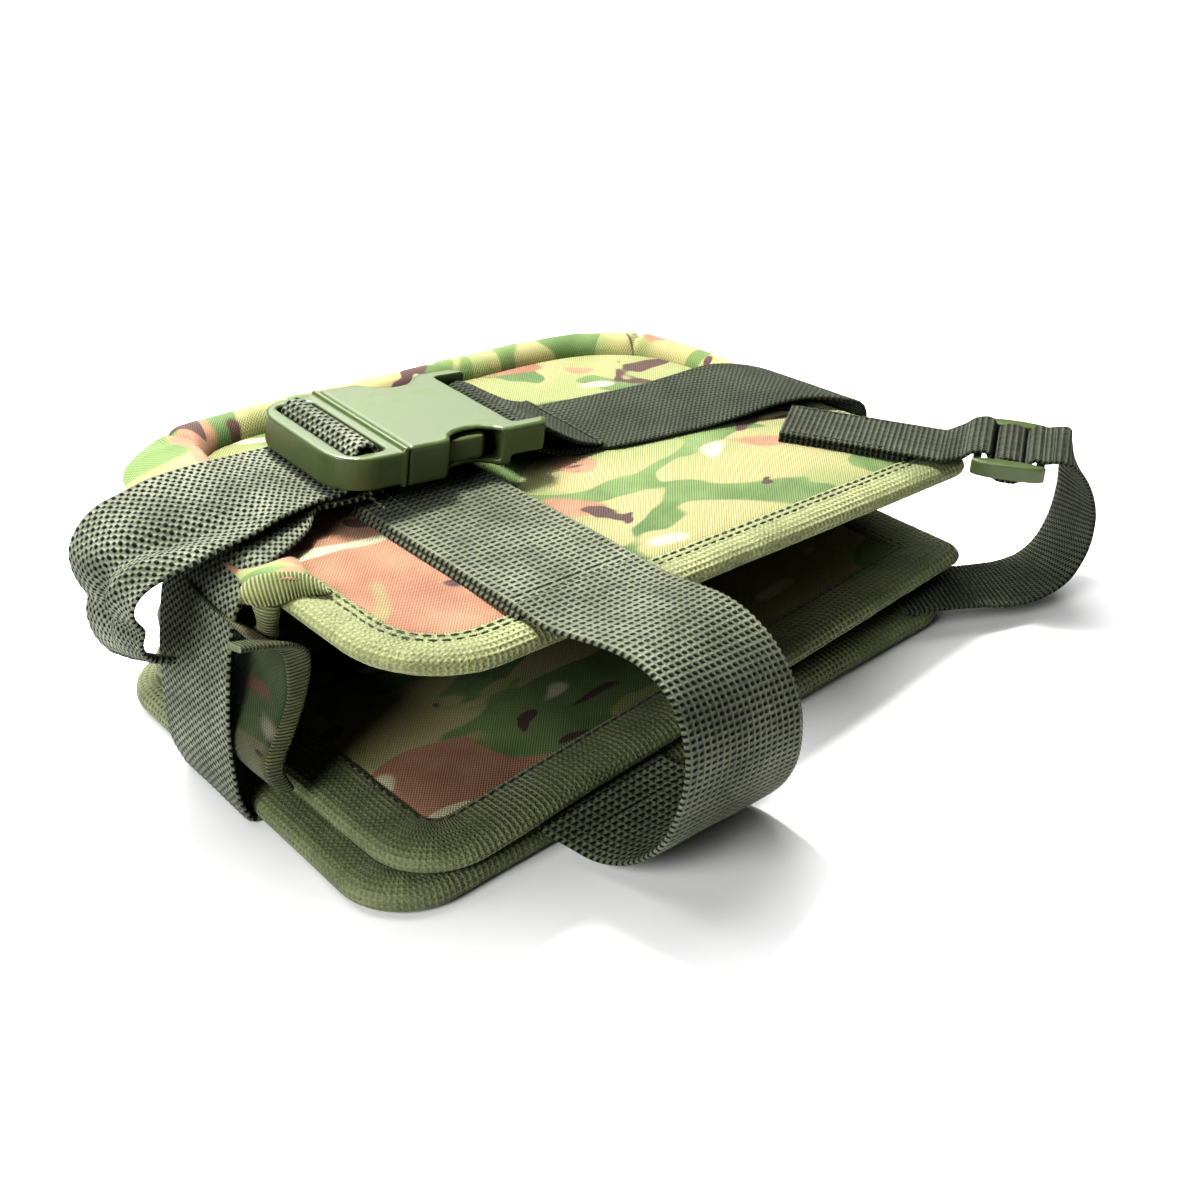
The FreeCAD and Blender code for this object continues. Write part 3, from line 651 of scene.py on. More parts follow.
def panels():
    # Name, corners, frame, tape (width, top, bottom), tape and upper and lower fabric, seed.
    specs = [("top", TOP_CORNERS, TOP, (13, 3.05, -3.05), TAPE_PAINTED_LIGHT, CAMO_TOP, LINING_PAINTED_SHADE, 11),
             ("middle", MIDDLE_CORNERS, MIDDLE, (17, 3.05, -3.05), TAPE, CAMO_MIDDLE, CAMO_BASE, 23),
             ("base", BASE_CORNERS, BASE, (17, 3.3, -4.2), TAPE, CAMO_BASE, CAMO_MIDDLE, 37)]
    for prefix, corners, at, folded, tape, above, below, seed in specs:
        is_top = prefix == "top"
        body = "top_panel" if is_top else "base"
        width = folded[0]
        profile = tape_profile(*folded)
        sag = -0.2 if prefix == "base" else 0.3
        edge = binding(prefix + "_edge_tape", corners, at, profile, tape, seed)
        upper = fabric_face(prefix + "_upper_face", corners, at, 1, width, above, 0.8, seed, is_top)
        lower = fabric_face(prefix + "_lower_face", corners, at, -1, width, below, sag, seed + 1)
        outer = prefix + "_cover"
        inner = prefix + "_lining"
        carried(edge, body, prefix + "_binding")
        carried(upper, body, outer if is_top else inner, prefix + "_board", prefix + "_foam")
        carried(lower, body, inner if is_top else outer)
        for index, inset in enumerate((width - 2.0, width - 4.2) if is_top else (width - 2.0,)):
            ring = outline(corners, inset, 24, 60)
            if is_top:
                hidden = beside_rim(ring) > 0
                first = int(np.argmax(hidden & ~np.roll(hidden, -1))) + 1
                ring = np.roll(ring, -first, axis=0)[~np.roll(hidden, -first)]
            local = np.c_[ring, np.full(len(ring), profile[2][1] + 0.12)]
            row = stitch_row(f"{prefix}_stitches_{index}", to_frame(local, at), up_of(at), closed=not is_top)
            carried(row, body)


# ------------------------------------------------------------------ padded rim


# Along the rim: middle x and y, half width, height over the panel, where the crest lies (0 at the inner side,
# 1 at the outer side), and how flat the outer slope runs.
RIM_PATH = [
    (-110.3, -27, 7.4, 4.4, 0.45, 2.0), (-109.4, -19, 7.9, 4.6, 0.42, 2.0),
    (-107.0, -6, 8.6, 3.0, 0.35, 1.8), (-105.2, 14, 10.0, 3.8, 0.28, 1.6),
    (-104.6, 32, 11.6, 6.4, 0.20, 1.4), (-103.2, 46, 12.6, 7.9, 0.15, 1.3),
    (-98.4, 60, 11.6, 8.0, 0.18, 1.4), (-86.5, 68.2, 8.2, 7.4, 0.36, 1.9),
    (-70, 70.6, 6.4, 7.3, 0.46, 2.0), (-45, 70.6, 5.8, 7.0, 0.48, 2.0), (0, 69.8, 5.8, 6.6, 0.48, 2.0),
    (40, 69.0, 5.8, 6.3, 0.48, 2.0), (62, 66.2, 5.8, 6.3, 0.48, 2.0), (77, 59.5, 5.8, 6.2, 0.48, 2.0),
    (87.5, 49.0, 5.6, 6.2, 0.48, 2.0), (92.5, 36, 5.4, 5.9, 0.46, 2.0), (95.6, 20, 5.2, 4.6, 0.46, 2.0),
    (97.6, 4, 4.8, 2.2, 0.46, 2.0)]
RIM_FOOT = 2.6
RIM_SEAMS = ((-91.0, 66.5, 0.55), (84.5, 52.5, 0.2))


def rim_stations():
    """The rim's path at even steps, how far along it each one is, and its outward direction there."""
    fine = catmull(RIM_PATH, 24)
    path, at = even_steps(fine, fine[:, :2], 0.9)
    along = unit(np.gradient(path[:, :2], axis=0))
    return path, at, np.stack([-along[:, 1], along[:, 0]], -1)


def rim_profile(t, crest, slope):
    """Height share over the rim's width: steep inner face, rounded crest, outer slope."""
    inner = np.sqrt(np.clip(1 - (1 - np.minimum(t / crest, 1)) ** 2, 0, 1))
    fall = np.clip((t - crest) / (1 - crest), 0, 1)
    outer = np.clip(1 - fall ** slope, 0, 1) ** (1 / (slope * 0.9))
    return np.where(t < crest, inner, outer)


def padded_rim():
    """Stuffed fabric welt round the top panel, with seams at two corners and gathered wrinkles."""
    path, at, side = rim_stations()
    columns = 34
    t = 0.5 - 0.5 * np.cos(np.pi * np.linspace(0, 1, columns))
    rings = []
    for (x, y, half, height, crest, slope), s, passed in zip(path, side, at):
        across = (t * 2 - 1) * half
        raised = height * rim_profile(t, crest, slope)
        slanted = 10 * t * max(1 - passed / 22, 0)
        rings.append(np.stack([x + s[0] * across, y + s[1] * across + slanted, RIM_FOOT + raised], -1))
    grid = np.stack(rings)
    flat = grid.reshape(-1, 3)
    folds = soft_noise(flat * np.array([1, 1, 0.5]), 14, 5) * 0.7 + soft_noise(flat, 5.0, 8) * 0.16
    lift = folds.reshape(grid.shape[:2])
    for x, y, slant in RIM_SEAMS:
        away = np.hypot(path[:, 0] - x, path[:, 1] - y)
        middle = at[int(np.argmin(away))]
        gap = at[:, None] - middle - slant * (t[None, :] - 0.5) * 16
        lift = lift - 1.5 * np.exp(-(gap / 0.9) ** 2) + 0.5 * np.exp(-((np.abs(gap) - 3) / 2) ** 2)
    grid[:, :, 2] += lift * np.sin(np.pi * t)[None, :] ** 0.4
    foot = grid[:, ::-1].copy()
    foot[:, :, 2] = RIM_FOOT - 0.4
    closed = np.concatenate([grid, foot[:, 1:-1]], axis=1)
    around = np.concatenate([t * 18, 18 + t[1:-1] * 12])
    uv = np.stack(np.broadcast_arrays(around[None, :], at[:, None]), -1)
    faces = tube_faces(*closed.shape[:2], False)
    count = closed.shape[1]
    faces.append(list(range(count - 1, -1, -1)))
    faces.append([(closed.shape[0] - 1) * count + i for i in range(count)])
    rim = build_mesh("padded_rim", to_frame(closed.reshape(-1, 3), TOP), faces, uv.reshape(-1, 2), CAMO_RIM)
    carried(rim, "top_panel", "top_rim", "top_rim_filler")


# Ribbed tape over the rim's front end, in the top panel's frame: one edge on top, one in front and below.
RIM_CAP = [
    (-102.4, -28.2, 4.2, -102.0, -29.4, 3.2), (-104.6, -24.4, 7.0, -105.0, -26.8, 2.9),
    (-107.8, -20.8, 7.9, -108.4, -24.0, 1.9), (-112.4, -17.2, 7.5, -113.4, -22.2, 0.7),
    (-116.4, -14.2, 6.0, -117.2, -19.6, 0.2), (-118.8, -13.0, 3.6, -119.2, -16.4, 0.3)]
RIM_HOOK = [
        (-117.4, -14.4, 3.0, -112.4, -21.8, 2.6), (-117.2, -15.2, -1.0, -112.2, -20.6, -2.0),
        (-115.8, -14.8, -5.5, -112.0, -19.4, -6.5), (-114.6, -12.6, -9.6, -111.0, -17.4, -11.5),
        (-114.0, -8.0, -12.0, -110.6, -12.0, -15.5), (-113.5, -2.4, -13.5, -110.5, -4.0, -18.5)]


def in_top_frame(rails):
    return [placed(TOP, (r[:3], r[3:])) for r in rails]


def rim_end():
    for name, rails, thickness, rise, width in (("rim_end_tape", RIM_CAP, 1.6, 1.7, 9),
                                                ("rim_end_hook", RIM_HOOK, 1.8, 1.2, 7)):
        def bulge(u, share):
            return rise * np.sin(np.pi * np.clip(u / width, 0, 1))

        ride_ribbon(name, in_top_frame(rails), RIM_WEAVE, "top_panel", thickness=thickness, sway=0,
                    bend=bulge, slot="binding_tape")


# ------------------------------------------------------------------ straps


def across(x, z):
    return placed(BUCKLE, ((x, -BELT_HALF, z), (x, BELT_HALF, z)))


def on_top(near, far):
    return placed(TOP, (near, far))


def level(x, z, shift=0.0, twist=0.0):
    near = BELT_Y - BELT_HALF - shift
    far = BELT_Y + BELT_HALF - shift - twist
    return (x, near, z, x, far, z)


def belt_turn(side):
    bend = ((0, 0.78), (1.2, 0.78), (2.3, 0.78), (3.7, 1.38), (4.6, 2.98))
    return [level(side * (110 + x), z) for x, z in bend]


def strap_rails(centres, width, matrix):
    rails = []
    for x, y, z, angle in centres:
        turn = math.radians(90 + angle)
        side = np.array([math.cos(turn), math.sin(turn), 0]) * width / 2
        rails.append(placed(matrix, (np.array([x, y, z]) - side, np.array([x, y, z]) + side)))
    return rails


MALE_SIDE = belt_turn(-1) + [
    level(-116.8, 14), level(-115.6, 36), level(-111.2, 58), level(-106.8, 69, 0.4, 0.2),
    on_top((-112.2, -11.5, 4.6), (-112.2, 26.5, 6.6))]
MALE_OVER = [
    on_top((-108, -10.5, 6.0), (-108, 27.5, 8.6)), on_top((-100, -8, 7.2), (-100, 30, 10.2)),
    on_top((-92, -4, 8.0), (-92, 34, 11.0)), across(-3.6, -3.35)]
MALE_WRAP = [across(x, z) for x, z in (
    (4, -3.4), (11, -3.2), (14.6, -1.2), (15.4, 3.2), (15.2, 8.6), (12.8, 12.0), (9.4, 12.2), (7.2, 9.2),
    (6.7, 4.6), (5.4, 0.2), (2.2, -1.1), (-3.6, -1.3))]
TAIL = [
                                           (-86, -1.9, 81.9, -86, 36.3, 84.6),
                                           (-94, -3.2, 81.2, -94, 35.8, 85.6),
                                           (-104, -3.8, 80.4, -104, 35.5, 86.2),
                                           (-113, -4.0, 79.8, -113.3, 35.5, 85.0),
                                           (-120.8, -3.6, 79.0, -121, 35.5, 83.6),
                                           (-126.8, -3.2, 77.4, -126.6, 35.5, 80.0),
                                           (-130.3, -2.6, 74.4, -129.9, 35.5, 75.0),
                                           (-131.2, -2.0, 71.0, -130.4, 35.5, 69.2),
                                           (-130.2, -1.0, 67.5, -129.4, 35.5, 64.2),
                                           (-128.4, 0.2, 64.0, -127.9, 35.5, 59.6),
                                           (-129.2, 1.2, 60.3, -129.3, 35.5, 54.2),
                                           (-128.6, 2.2, 56.6, -128.6, 35.5, 47.0),
                                           (-126.2, 3.0, 53.4, -125.8, 35.5, 41.2),
                                           (-122.4, 3.6, 51.2, -121.0, 35.2, 36.8),
                                           (-119.8, 4.4, 49.6, -117.8, 34.8, 34.6)]
FEMALE_WRAP = [across(x, z) for x, z in (
    (97, -2.2), (88, 0.2), (78, 5.0), (72, 8.2), (68.2, 9.3), (65.2, 8.1), (64.3, 5.4), (65.4, 2.5),
    (69, 1.6), (76, -0.8), (86, -3.3), (96, -3.9))]
OVER_RIGHT = strap_rails(
    [(24, 12.7, 3.95, -5), (38, 10.3, 4.0, -5), (54, 7.8, 4.2, -5), (68, 5.0, 5.6, -7)], 2 * BELT_HALF, TOP)
OVER_RIGHT += [
    on_top((81, -16.5, 7.3), (85.5, 21.0, 7.3)), on_top((94, -20.0, 7.7), (94.5, 16.6, 7.3)),
    on_top((105, -25.5, 6.4), (102.0, 12.0, 6.0))]
SIDE_RIGHT = [
    on_top((111.6, -29.0, 3.8), (107.0, 8.6, 3.4)), (123.9, -21, 41, 121.2, 14, 42),
    level(121.6, 28, 6, 2), level(118.8, 14, 3, 0)] + belt_turn(1)[::-1]


def tail_crease(u, share):
    """The free end buckles along its near edge: a valley that deepens towards the end."""
    deep = np.clip((share - 0.42) / 0.22, 0, 1) ** 1.5 * np.clip((0.93 - share) / 0.12, 0, 1)
    middle = 9 + 14 * np.clip((share - 0.55) / 0.3, 0, 1)
    return deep * (2.7 * np.exp(-((u - middle) / 4.5) ** 2) - 1.3 * np.exp(-((u - middle + 8.5) / 3.5) ** 2))


def belt():
    ride_ribbon("belt_under", [level(x, 0.75) for x in (-110.5, -40, 40, 110.5)], UNDERSIDE_PAINTED_SHADE_WEAVE, "base",
                "belt_underside", sway=0, thickness=1.4)
    bent_ribbon("belt_left", MALE_SIDE + MALE_OVER[:1], BELT_PAINTED_LIGHT_WEAVE, ("base", "top_panel"),
                ((-115, 7, 10), (-110, 7, 68)), "belt_side_left", seed=2)
    bent_ribbon("belt_over_left", MALE_SIDE[-1:] + MALE_OVER + MALE_WRAP[:1], BELT_PAINTED_LIGHT_WEAVE,
                ("top_panel", "buckle_male_body"), ((-98, 10, 80), (-76, 19, 81)), "belt_top_left", seed=3,
                sway=0.1)
    ride_ribbon("belt_free_end", MALE_OVER[-1:] + MALE_WRAP + TAIL, BELT_PAINTED_LIGHT_WEAVE, "buckle_male_body",
                "belt_male_wrap", "belt_tail", seed=4, bend=tail_crease)
    ride_ribbon("belt_free_end_hem", TAIL[-3:], BELT_PAINTED_LIGHT_WEAVE, "buckle_male_body", "belt_tail_hem",
                thickness=2.2, seed=5, sway=0)
    ride_ribbon("belt_over_right", FEMALE_WRAP + OVER_RIGHT + SIDE_RIGHT[:1], RIGHT_PAINTED_SHADE_WEAVE, "top_panel",
                "belt_female_wrap", "belt_top_right", seed=6, sway=0.15)
    ride_ribbon("belt_cut_end", [across(96.4, -1.55), across(97.5, -1.9), across(98.4, -2.6)], CUT_WEAVE,
                "top_panel", sway=0)
    bent_ribbon("belt_right", OVER_RIGHT[-1:] + SIDE_RIGHT, RIGHT_PAINTED_SHADE_WEAVE, ("top_panel", "base"),
                ((122, -4, 46), (118, 4, 10)), "belt_side_right", seed=7)


FRONT_X = -49.5
UPPER_Z = 5.45
FRONT_LOOP = [
    (-53.5, -98, 71.6, -8, -90, 64.0), (-52.5, -110, 69.6, -6, -101.5, 58.6),
    (-52, -117, 63.4, -5, -108.5, 50.4), (-52, -120, 54, -4.5, -112.6, 40.5),
    (-52, -119.5, 44, -4.5, -113.6, 31), (-52.5, -116.5, 32, -4.5, -112, 21.5),
    (-53, -111, 19.5, -5, -107.6, 12), (-54.5, -102, 9.0, -6, -100.5, 5.0),
    (-57, -92, 4.6, -9, -91.5, 3.2), (-60, -83, 6.0, -13, -83, 5.6)]
FRONT_END = [
        (-62.5, -76.5, 8.1, -17, -76.5, 8.3), (-62.5, -64, 8.6, -17.5, -64, 8.7),
        (-62.5, -52, 8.6, -18, -52, 8.7)]


FRONT_HALF = 22.5
SEAM_INSET = 3  # from the strap's edges to the ends of its seam


def across_front(y, z, inset=0.0, shift=0.0):
    """The front strap's two edges at one place on the top panel."""
    half = FRONT_HALF - inset
    middle = FRONT_X + shift
    return placed(TOP, ((middle - half, y, z), (middle + half, y, z)))


def front_strap():
    flat = [across_front(y, UPPER_Z) for y in (18, -10, -40, -64, -76)]
    backing = [across_front(y, 3.85, shift=-0.8) for y in (14, -30, -67)]
    ride_ribbon("front_strap", flat[:4], FRONT_WEAVE, "top_panel", "front_strap_top", seed=9, sway=0.12)
    ride_ribbon("front_strap_backing_layer", backing, FRONT_WEAVE, "top_panel", "front_strap_backing",
                seed=10, sway=0)
    bent_ribbon("front_loop", flat[3:] + FRONT_LOOP + FRONT_END[:1], FRONT_WEAVE, ("top_panel", "base"),
                ((-29, -80, 66), (-37, -80, 10)), "front_strap_loop", seed=11, sway=0.35)
    ride_ribbon("front_strap_sewn_end", FRONT_LOOP[-1:] + FRONT_END, FRONT_WEAVE, "base", "front_strap_end",
                seed=12, sway=0)
    line = np.array(across_front(-61.2, 6.3, SEAM_INSET)).reshape(2, 3)
    seam = stitch_row("front_strap_seam", line, up_of(TOP), 2.4, 1.0, 0.3)
    carried(seam, "top_panel", "front_strap_stitches")


CORNER_START = np.array([77.0, -24.0])
CORNER_END = np.array([104.0, -67.0])
CORNER_Z = UPPER_Z + 0.2
THROUGH = (
    (-14.5, 2.6), (-11.6, 5.0), (-7.2, 5.7), (-5.6, 2.6), (-5.6, -0.6), (-3.0, -3.0), (0, -3.4),
    (3.0, -3.0), (5.6, -0.6), (5.6, 2.6), (7.4, 5.0), (10.6, 4.8))
OVER_BAR = ((-4.0, -2.2), (-3.9, 1.6), (-3.0, 3.7), (0, 4.3), (3.0, 3.7), (3.9, 1.6), (4.0, -2.2))
CORNER_LOOP = [
    (139.6, -97.0, 46.8, 153.4, -78.6, 45.6), (144.2, -98.3, 38.5, 155.2, -77.8, 34.5),
    (146.4, -98.6, 29.0, 154.6, -76.8, 23.0), (145.2, -98.2, 19.0, 151.4, -75.0, 13.5),
    (138.8, -97.0, 10.6, 145.6, -73.0, 8.4), (128.6, -94.6, 7.0, 138.0, -70.6, 6.9),
    (118.6, -91.0, 6.8, 129.8, -68.0, 7.6)]
CORNER_TAIL = [(114.5, -75.8, 9.0, -32), (104, -70.0, 9.8, -30), (92, -63.0, 9.6, -28)]


CORNER_WIDTH = 25
CORNER_TURN = -58.5  # of the strap sewn on the top panel
GLIDE_TURN = -56.3  # of the strap where it leaves the slide


def corner_strap():
    anchor_end = CORNER_START + (CORNER_END - CORNER_START) * 0.8
    flat = []
    for end, z in ((CORNER_END, CORNER_Z), (anchor_end, 3.85)):
        places = (CORNER_START, (CORNER_START + end) / 2, end)
        flat.append(strap_rails([(*p, z, CORNER_TURN) for p in places], CORNER_WIDTH, TOP))
    sewn, anchor = flat
    fold, over_bar = (strap_rails([(x, 0, z, 0) for x, z in path], CORNER_WIDTH, GLIDE)
                      for path in (THROUGH, OVER_BAR))
    leaving = to_frame([(13.1, 0, 5.5), (17.4, 0, 5.3)], GLIDE)
    loop = strap_rails([(*p, GLIDE_TURN) for p in leaving], CORNER_WIDTH, WORLD) + CORNER_LOOP
    tail = strap_rails(CORNER_TAIL, CORNER_WIDTH, WORLD)
    reach = np.array(GLIDE.to_3x3() @ Vector((1, 0, 0)))
    before, near, after, past = (np.array(GLIDE.translation) + reach * d for d in (-20, -12, 8, 13))
    ride_ribbon("corner_strap", sewn, CORNER_WEAVE, "top_panel", "corner_strap_top", seed=13, sway=0.1)
    ride_ribbon("corner_strap_anchor_layer", anchor, CORNER_WEAVE, "top_panel", "corner_strap_anchor",
                seed=14, sway=0)
    bent_ribbon("corner_fold_in", sewn[-1:] + fold[:7], CORNER_WEAVE, ("top_panel", "tri_glide_body"),
                (before, near), "corner_strap_fold", seed=15, sway=0)
    bent_ribbon("corner_fold_out", fold[6:] + loop[:1], CORNER_WEAVE, ("tri_glide_body", "top_panel"),
                (after, past), seed=16, sway=0)
    ride_ribbon("corner_fold_over_bar", over_bar, CORNER_WEAVE, "tri_glide_body", seed=19, sway=0)
    bent_ribbon("corner_loop", loop + tail[:1], CORNER_WEAVE, ("top_panel", "base"), (past, (136, -88, 8)),
                "corner_strap_loop", seed=17, sway=0.3)
    ride_ribbon("corner_strap_sewn_end", tail, CORNER_WEAVE, "base", "corner_strap_end", seed=18, sway=0)
    along = unit(CORNER_END - CORNER_START)
    aside = np.array([-along[1], along[0]])
    for k, shift in enumerate((-10.5, 10.5)):
        ends = [(*(CORNER_START + along * at + aside * shift), 6.5) for at in (3, 34)]
        row = stitch_row(f"corner_stitches_{k}", to_frame(ends, TOP), up_of(TOP))
        carried(row, "top_panel", *(["corner_strap_stitches"] if k == 0 else []))


# ------------------------------------------------------------------ moulded parts


def solid(name, outline_points, z0, z1):
    """A prism from a closed outline in millimetres, as a plain object for shaping."""
    n = len(outline_points)
    points = [(x, y, z0) for x, y in outline_points] + [(x, y, z1) for x, y in outline_points]
    faces = [list(range(n - 1, -1, -1)), list(range(n, 2 * n))]
    faces += [[i, (i + 1) % n, n + (i + 1) % n, n + i] for i in range(n)]
    return build_mesh(name, points, faces)


def box_outline(x0, x1, y0, y1, radius=0.0):
    if radius <= 0:
        return [(x0, y0), (x1, y0), (x1, y1), (x0, y1)]
    centre = np.array([(x0 + x1) / 2, (y0 + y1) / 2])
    ring = outline(rectangle(x1 - x0, y1 - y0, (radius,) * 4), 0, 8, 1)
    return [tuple(p + centre) for p in ring]


def shaped(name, parts, voxel, smooth, at, body, node, edge):
    """Joins and cuts prisms, then rounds every edge like a moulding: (mode, outline, z0, z1) in order."""
    base = solid(name, *parts[0][1:])
    bevel = base.modifiers.new("edge", "BEVEL")
    bevel.width = edge * MM
    bevel.segments = 4
    bevel.limit_method = "ANGLE"
    bevel.angle_limit = math.radians(60)
    apply_modifiers(base)
    for index, (mode, *shape) in enumerate(parts[1:]):
        tool = solid(f"{name}_tool{index}", *shape)
        cut = base.modifiers.new("tool", "BOOLEAN")
        cut.operation = mode
        cut.object = tool
        cut.solver = "EXACT"
        apply_modifiers(base)
        bpy.data.objects.remove(tool)
    remesh = base.modifiers.new("remesh", "REMESH")
    remesh.mode = "VOXEL"
    remesh.voxel_size = voxel * MM
    relax = base.modifiers.new("smooth", "SMOOTH")
    relax.factor = 0.5
    relax.iterations = smooth
    apply_modifiers(base)
    base.data.transform(Matrix.Scale(1 / MM, 4))
    base.data.transform(at)
    base.data.transform(Matrix.Scale(MM, 4))
    base.data.shade_smooth()
    base.data.materials.clear()
    base.data.materials.append(PLASTIC)
    carried(base, body, node)


def apply_modifiers(obj):
    graph = bpy.context.evaluated_depsgraph_get()
    mesh = bpy.data.meshes.new_from_object(obj.evaluated_get(graph))
    old = obj.data
    obj.modifiers.clear()
    obj.data = mesh
    bpy.data.meshes.remove(old)


def buckle():
    half = 24.0
    male_shape = outline([(0, -half, 11.5), (21.5, -half, 0.6), (21.5, half, 0.6), (0, half, 11.5)], 0, 10, 1)
    male = [("", male_shape, 1.2, 10.9),
            ("DIFFERENCE", box_outline(4.9, 17.0, -19.8, 19.8, 2.5), -1, 13),
            ("UNION", box_outline(9.0, 12.5, -20.8, 20.8), 5.0, 8.5),
            ("UNION", box_outline(20.0, 21.5, -half - 0.4, half + 0.4, 0.5), 0.1, 12.2),
            ("UNION", box_outline(20.5, 54, -4, 4), 4.0, 8.0)]
    shaped("buckle_male_moulding", male, 0.5, 5, BUCKLE, "buckle_male_body", "buckle_male", edge=2.6)
    edge = [(21.8, half), (34.5, half)]
    waist = [(36.0, half - 1.0), (37.5, half - 3.4), (40.5, half - 5.2), (45, half - 6.0), (49.5, half - 5.4),
             (52.5, half - 3.2), (54.5, half - 0.9), (57, half)]
    upper = edge + waist + [(69.0, half), (72.0, half - 3.0)]
    shape = [(x, -y) for x, y in upper] + [(x, y) for x, y in reversed(upper)]
    female = [("", shape, 0.0, 12.0),
              ("DIFFERENCE", box_outline(21.0, 57.0, -20.6, 20.6), 2.0, 10.0),
              ("DIFFERENCE", box_outline(36.0, 55.0, 12.5, half + 2, 5.0), 2.0, 10.6),
              ("DIFFERENCE", box_outline(36.0, 55.0, -half - 2, -12.5, 5.0), 2.0, 10.6),
              ("DIFFERENCE", box_outline(60.0, 66.4, -19.8, 19.8, 1.5), -1, 13),
              ("DIFFERENCE", box_outline(65.4, 73.0, -19.8, 19.8), -1, 13),
              ("UNION", box_outline(66.9, 69.5, -20.8, 20.8), 3.8, 7.0),
              ("DIFFERENCE", box_outline(57.5, 75.0, -26.0, 26.0), -1.0, 3.4)]
    shaped("buckle_female_moulding", female, 0.5, 5, BUCKLE, "top_panel", "buckle_female", edge=1.2)
    for side, body, node in ((-1, "latch_front", "latch_arm_front"), (1, "latch_rear", "latch_arm_rear")):
        low, high = sorted((side * 13.6, side * 20.3))
        beam_low, beam_high = sorted((side * 14.2, side * 16.8))
        arm = [("", box_outline(22.2, 48, beam_low, beam_high), 3.2, 8.8),
               ("UNION", box_outline(37.2, 51.8, low, high, 3.2), 2.4, 9.6)]
        shaped(node + "_moulding", arm, 0.5, 22, BUCKLE, body, node, edge=0.8)


def tri_glide():
    frame_shape = outline(rectangle(22, 32, (4, 4, 4, 4)), 0, 8, 1)
    parts = [("", [tuple(p) for p in frame_shape], 0, 3.2)]
    for side in (-1, 1):
        low, high = sorted((side * 1.7, side * 8.4))
        parts.append(("DIFFERENCE", box_outline(low, high, -12.9, 12.9, 0.6), -1, 4.2))
    for side in (-1, 1):
        rail = [(x, side * (14.4 + 2.2 * math.sqrt(max(1 - (x / 11.5) ** 2, 0)) * s)) for s in (1, -1)
                for x in (np.linspace(-11.5, 11.5, 15) * s)]
        parts.append(("UNION", rail[::side], -0.9, 4.3))
    shaped("tri_glide_moulding", parts, 0.4, 5, GLIDE, "tri_glide_body", "tri_glide", edge=0.9)


# ------------------------------------------------------------------ gussets


WALL_ROWS = 56
WALL_COLUMNS = 36


def wall(name, start, finish, node, bow=0.0):
    """Folded fabric wall between two profiles, with soft creases."""
    levels = np.linspace(0, 1, WALL_ROWS)
    a, b = (np.array([np.interp(levels, np.linspace(0, 1, len(fine)), fine[:, k]) for k in range(3)]).T
            for fine in (catmull(start, 12), catmull(finish, 12)))
    share = np.linspace(0, 1, WALL_COLUMNS)[None, :, None]
    grid = a[:, None, :] * (1 - share) + b[:, None, :] * share
    grid[:, :, 0] -= bow * np.sin(np.pi * share[:, :, 0])
    flat = grid.reshape(-1, 3)
    crease = soft_noise(flat, 12, 21)
    grid = (flat + np.array([1.0, 1.0, 0]) * crease[:, None] * 0.6).reshape(grid.shape)
    faces = []
    for r in range(WALL_ROWS - 1):
        for c in range(WALL_COLUMNS - 1):
            i = r * WALL_COLUMNS + c
            faces.append([i, i + 1, i + WALL_COLUMNS + 1, i + WALL_COLUMNS])
    steps = np.linalg.norm(np.diff(grid, axis=0), axis=2).mean(axis=1)
    drop = np.concatenate([[0], np.cumsum(steps)])
    width = float(np.linalg.norm(grid[0, -1] - grid[0, 0]))
    uv = np.stack(np.broadcast_arrays(np.linspace(0, width, WALL_COLUMNS)[None, :], drop[:, None]), -1)
    # The wall's camouflage carries painted shade of the pouch's inside.
    obj = build_mesh(name, grid.reshape(-1, 3), faces, uv.reshape(-1, 2), CAMO_PAINTED_SHADE)
    solidify = obj.modifiers.new("cloth", "SOLIDIFY")
    solidify.thickness = MM
    solidify.offset = 0
    apply_modifiers(obj)
    obj.data.shade_smooth()
    bridging(obj, "base", "top_panel", (0, 0, 20), (0, 0, 58), node)


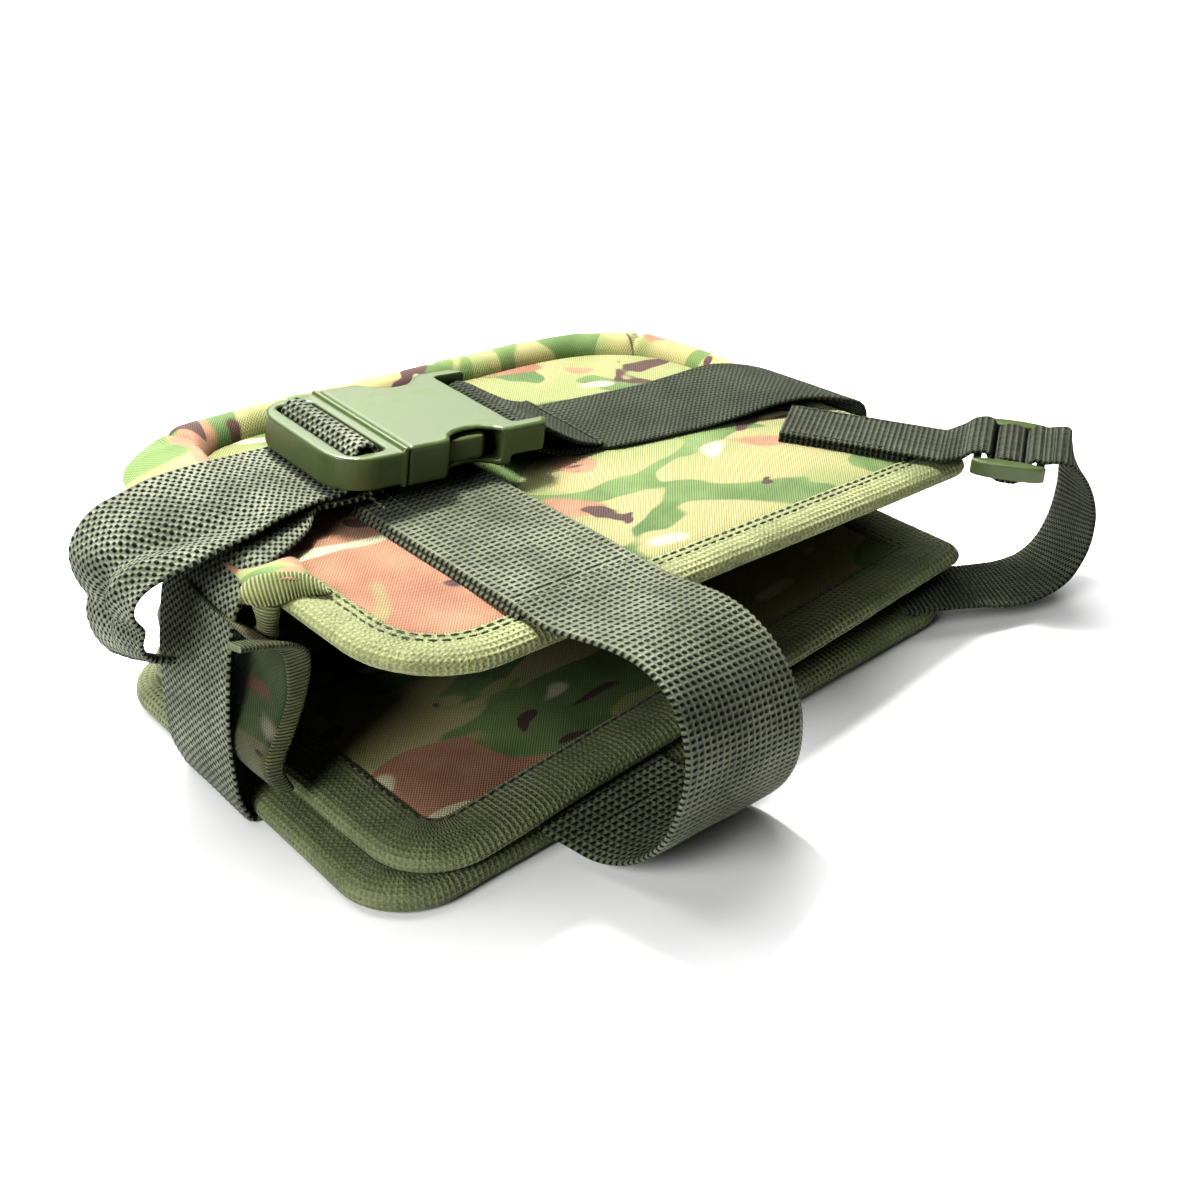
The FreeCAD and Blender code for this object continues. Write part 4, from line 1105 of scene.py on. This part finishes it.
def gussets():
    left = [
        (-110, -24, 64.4), (-105.2, -24, 61.8), (-103.2, -25.5, 58), (-103.4, -26.5, 53.5),
        (-104.8, -27, 47.5), (-107.4, -27, 41.5), (-110.8, -27, 36), (-113.8, -27, 31), (-114.2, -27, 26),
        (-112, -27, 20.4), (-107.5, -26, 17.0)]
    corner_left = [
        (-92.5, 65.5, 69.2), (-94.5, 67.5, 64), (-93, 66, 57), (-91.5, 62, 48), (-91.5, 61, 43.5),
        (-92, 62, 39), (-95, 65, 31), (-97.5, 67, 24), (-96, 66, 17.2)]
    corner_right = [
        (91, 63.5, 50.6), (93, 65.5, 47), (92, 64, 43), (92, 61, 38.5), (94, 60, 36.5), (96, 62, 34),
        (99, 64.5, 31), (103, 66, 27.5), (103, 65, 23.2)]
    wall("gusset_wall_left", left, corner_left, "gusset_left", bow=6.5)
    right = [(110, -24, 44.8), (112, -24, 40), (101, -24, 33), (109, -24, 26), (107, -24, 22.4)]
    wall("gusset_wall_right", right, corner_right, "gusset_right")
    wall("gusset_wall_back", corner_left, corner_right, "gusset_back")
    ear = [
        (-116.3, -21, 65.3, -116, -28, 66.9), (-110, -22, 63.9, -110, -29, 65.8),
        (-105.5, -23, 61.8, -103.3, -29, 63.4), (-103.6, -25, 58.2, -98.9, -29, 60.4),
        (-103.9, -26, 54.0, -98.0, -29, 55.6), (-105.2, -27, 47.5, -100.2, -29, 48.0),
        (-107.8, -27, 41.5, -103.0, -29, 42.0), (-111.3, -27, 36.0, -106.6, -29, 35.4),
        (-114.2, -27, 31.0, -109.6, -29, 30.6), (-114.6, -27, 26.0, -110.4, -29, 26.6),
        (-112.4, -27, 20.0, -108.4, -29, 20.2)]
    bent_ribbon("gusset_left_edge_tape", ear, EDGE_PAINTED_SHADE_WEAVE, ("base", "top_panel"), ((0, 0, 20), (0, 0, 58)),
                "gusset_left_binding", thickness=1.9, sway=0.2, seed=31, slot="binding_tape")
    fold = [
        (107.5, -25.4, 43.6, 115.5, -25.4, 43.6), (107.5, -25.4, 39.5, 115.5, -25.4, 39.5),
        (98.4, -25.4, 33, 106.4, -25.4, 33), (105, -25.4, 26.5, 113, -25.4, 26.5),
        (104, -25.4, 23.4, 112, -25.4, 23.4)]
    bent_ribbon("gusset_right_edge_tape", fold, FOLD_PAINTED_SHADE_WEAVE, ("base", "top_panel"), ((0, 0, 24), (0, 0, 42)),
                "gusset_right_binding", thickness=2.0, sway=0.1, seed=32, slot="binding_tape")


# ------------------------------------------------------------------ studio


def camera():
    data = bpy.data.cameras.new("camera")
    data.sensor_width = 36
    data.lens = 48.84
    data.clip_start = 0.01
    data.clip_end = 20
    obj = bpy.data.objects.new("camera", data)
    bpy.context.scene.collection.objects.link(obj)
    forward = Vector((0.5368, 0.6577, -0.5286)).normalized()
    yaw = math.radians(39.22)
    right = Vector((math.cos(yaw), -math.sin(yaw), 0))
    up = right.cross(forward)
    roll = math.radians(-2.15)
    turned_right = right * math.cos(roll) + up * math.sin(roll)
    turned_up = up * math.cos(roll) - right * math.sin(roll)
    axes = Matrix((turned_right, turned_up, -forward)).transposed().to_4x4()
    obj.matrix_world = Matrix.Translation((-0.2571, -0.3379, 0.2858)) @ axes
    bpy.context.scene.camera = obj


def area_light(name, at, target, size, power, colour=(1, 1, 1)):
    data = bpy.data.lights.new(name, "AREA")
    data.size = size
    data.energy = power
    data.color = colour
    obj = bpy.data.objects.new(name, data)
    obj.location = at
    obj.rotation_euler = (Vector(target) - Vector(at)).to_track_quat("-Z", "Y").to_euler()
    bpy.context.scene.collection.objects.link(obj)


def studio():
    s = Shader("floor", 0.9, colour=(0.86, 0.86, 0.86))
    fine = s.noise(s.place(), 40, 2)
    s.bump(fine, 0.02, 0.0005)
    size = 6000
    corners = [(x * size, y * size, -0.1) for x, y in ((-1, -1), (1, -1), (1, 1), (-1, 1))]
    floor = build_mesh("floor", corners, [[0, 1, 2, 3]], None, s.material)
    world = bpy.data.worlds.new("studio")
    world.use_nodes = True
    world.node_tree.nodes["Background"].inputs[0].default_value = (1, 1, 1, 1)
    world.node_tree.nodes["Background"].inputs[1].default_value = 0.07
    bpy.context.scene.world = world
    area_light("ceiling", (0.15, 0.9, 1.7), (0.05, 0.1, 0), 1.9, 35)
    area_light("key", (0.03, 0.14, 0.50), (0, 0.01, 0), 0.08, 3.4, (1.0, 0.99, 0.96))
    area_light("fill", (-1.15, -0.25, 0.80), (0, 0, 0.03), 0.6, 14)
    area_light("sheen", (0.85, 1.25, 0.95), (0, 0, 0.05), 1.0, 8)
    bpy.context.scene.view_settings.view_transform = "Standard"
    bpy.context.scene.view_settings.look = "High Contrast"


panels()
padded_rim()
rim_end()
belt()
front_strap()
corner_strap()
buckle()
tri_glide()
gussets()
camera()
studio()
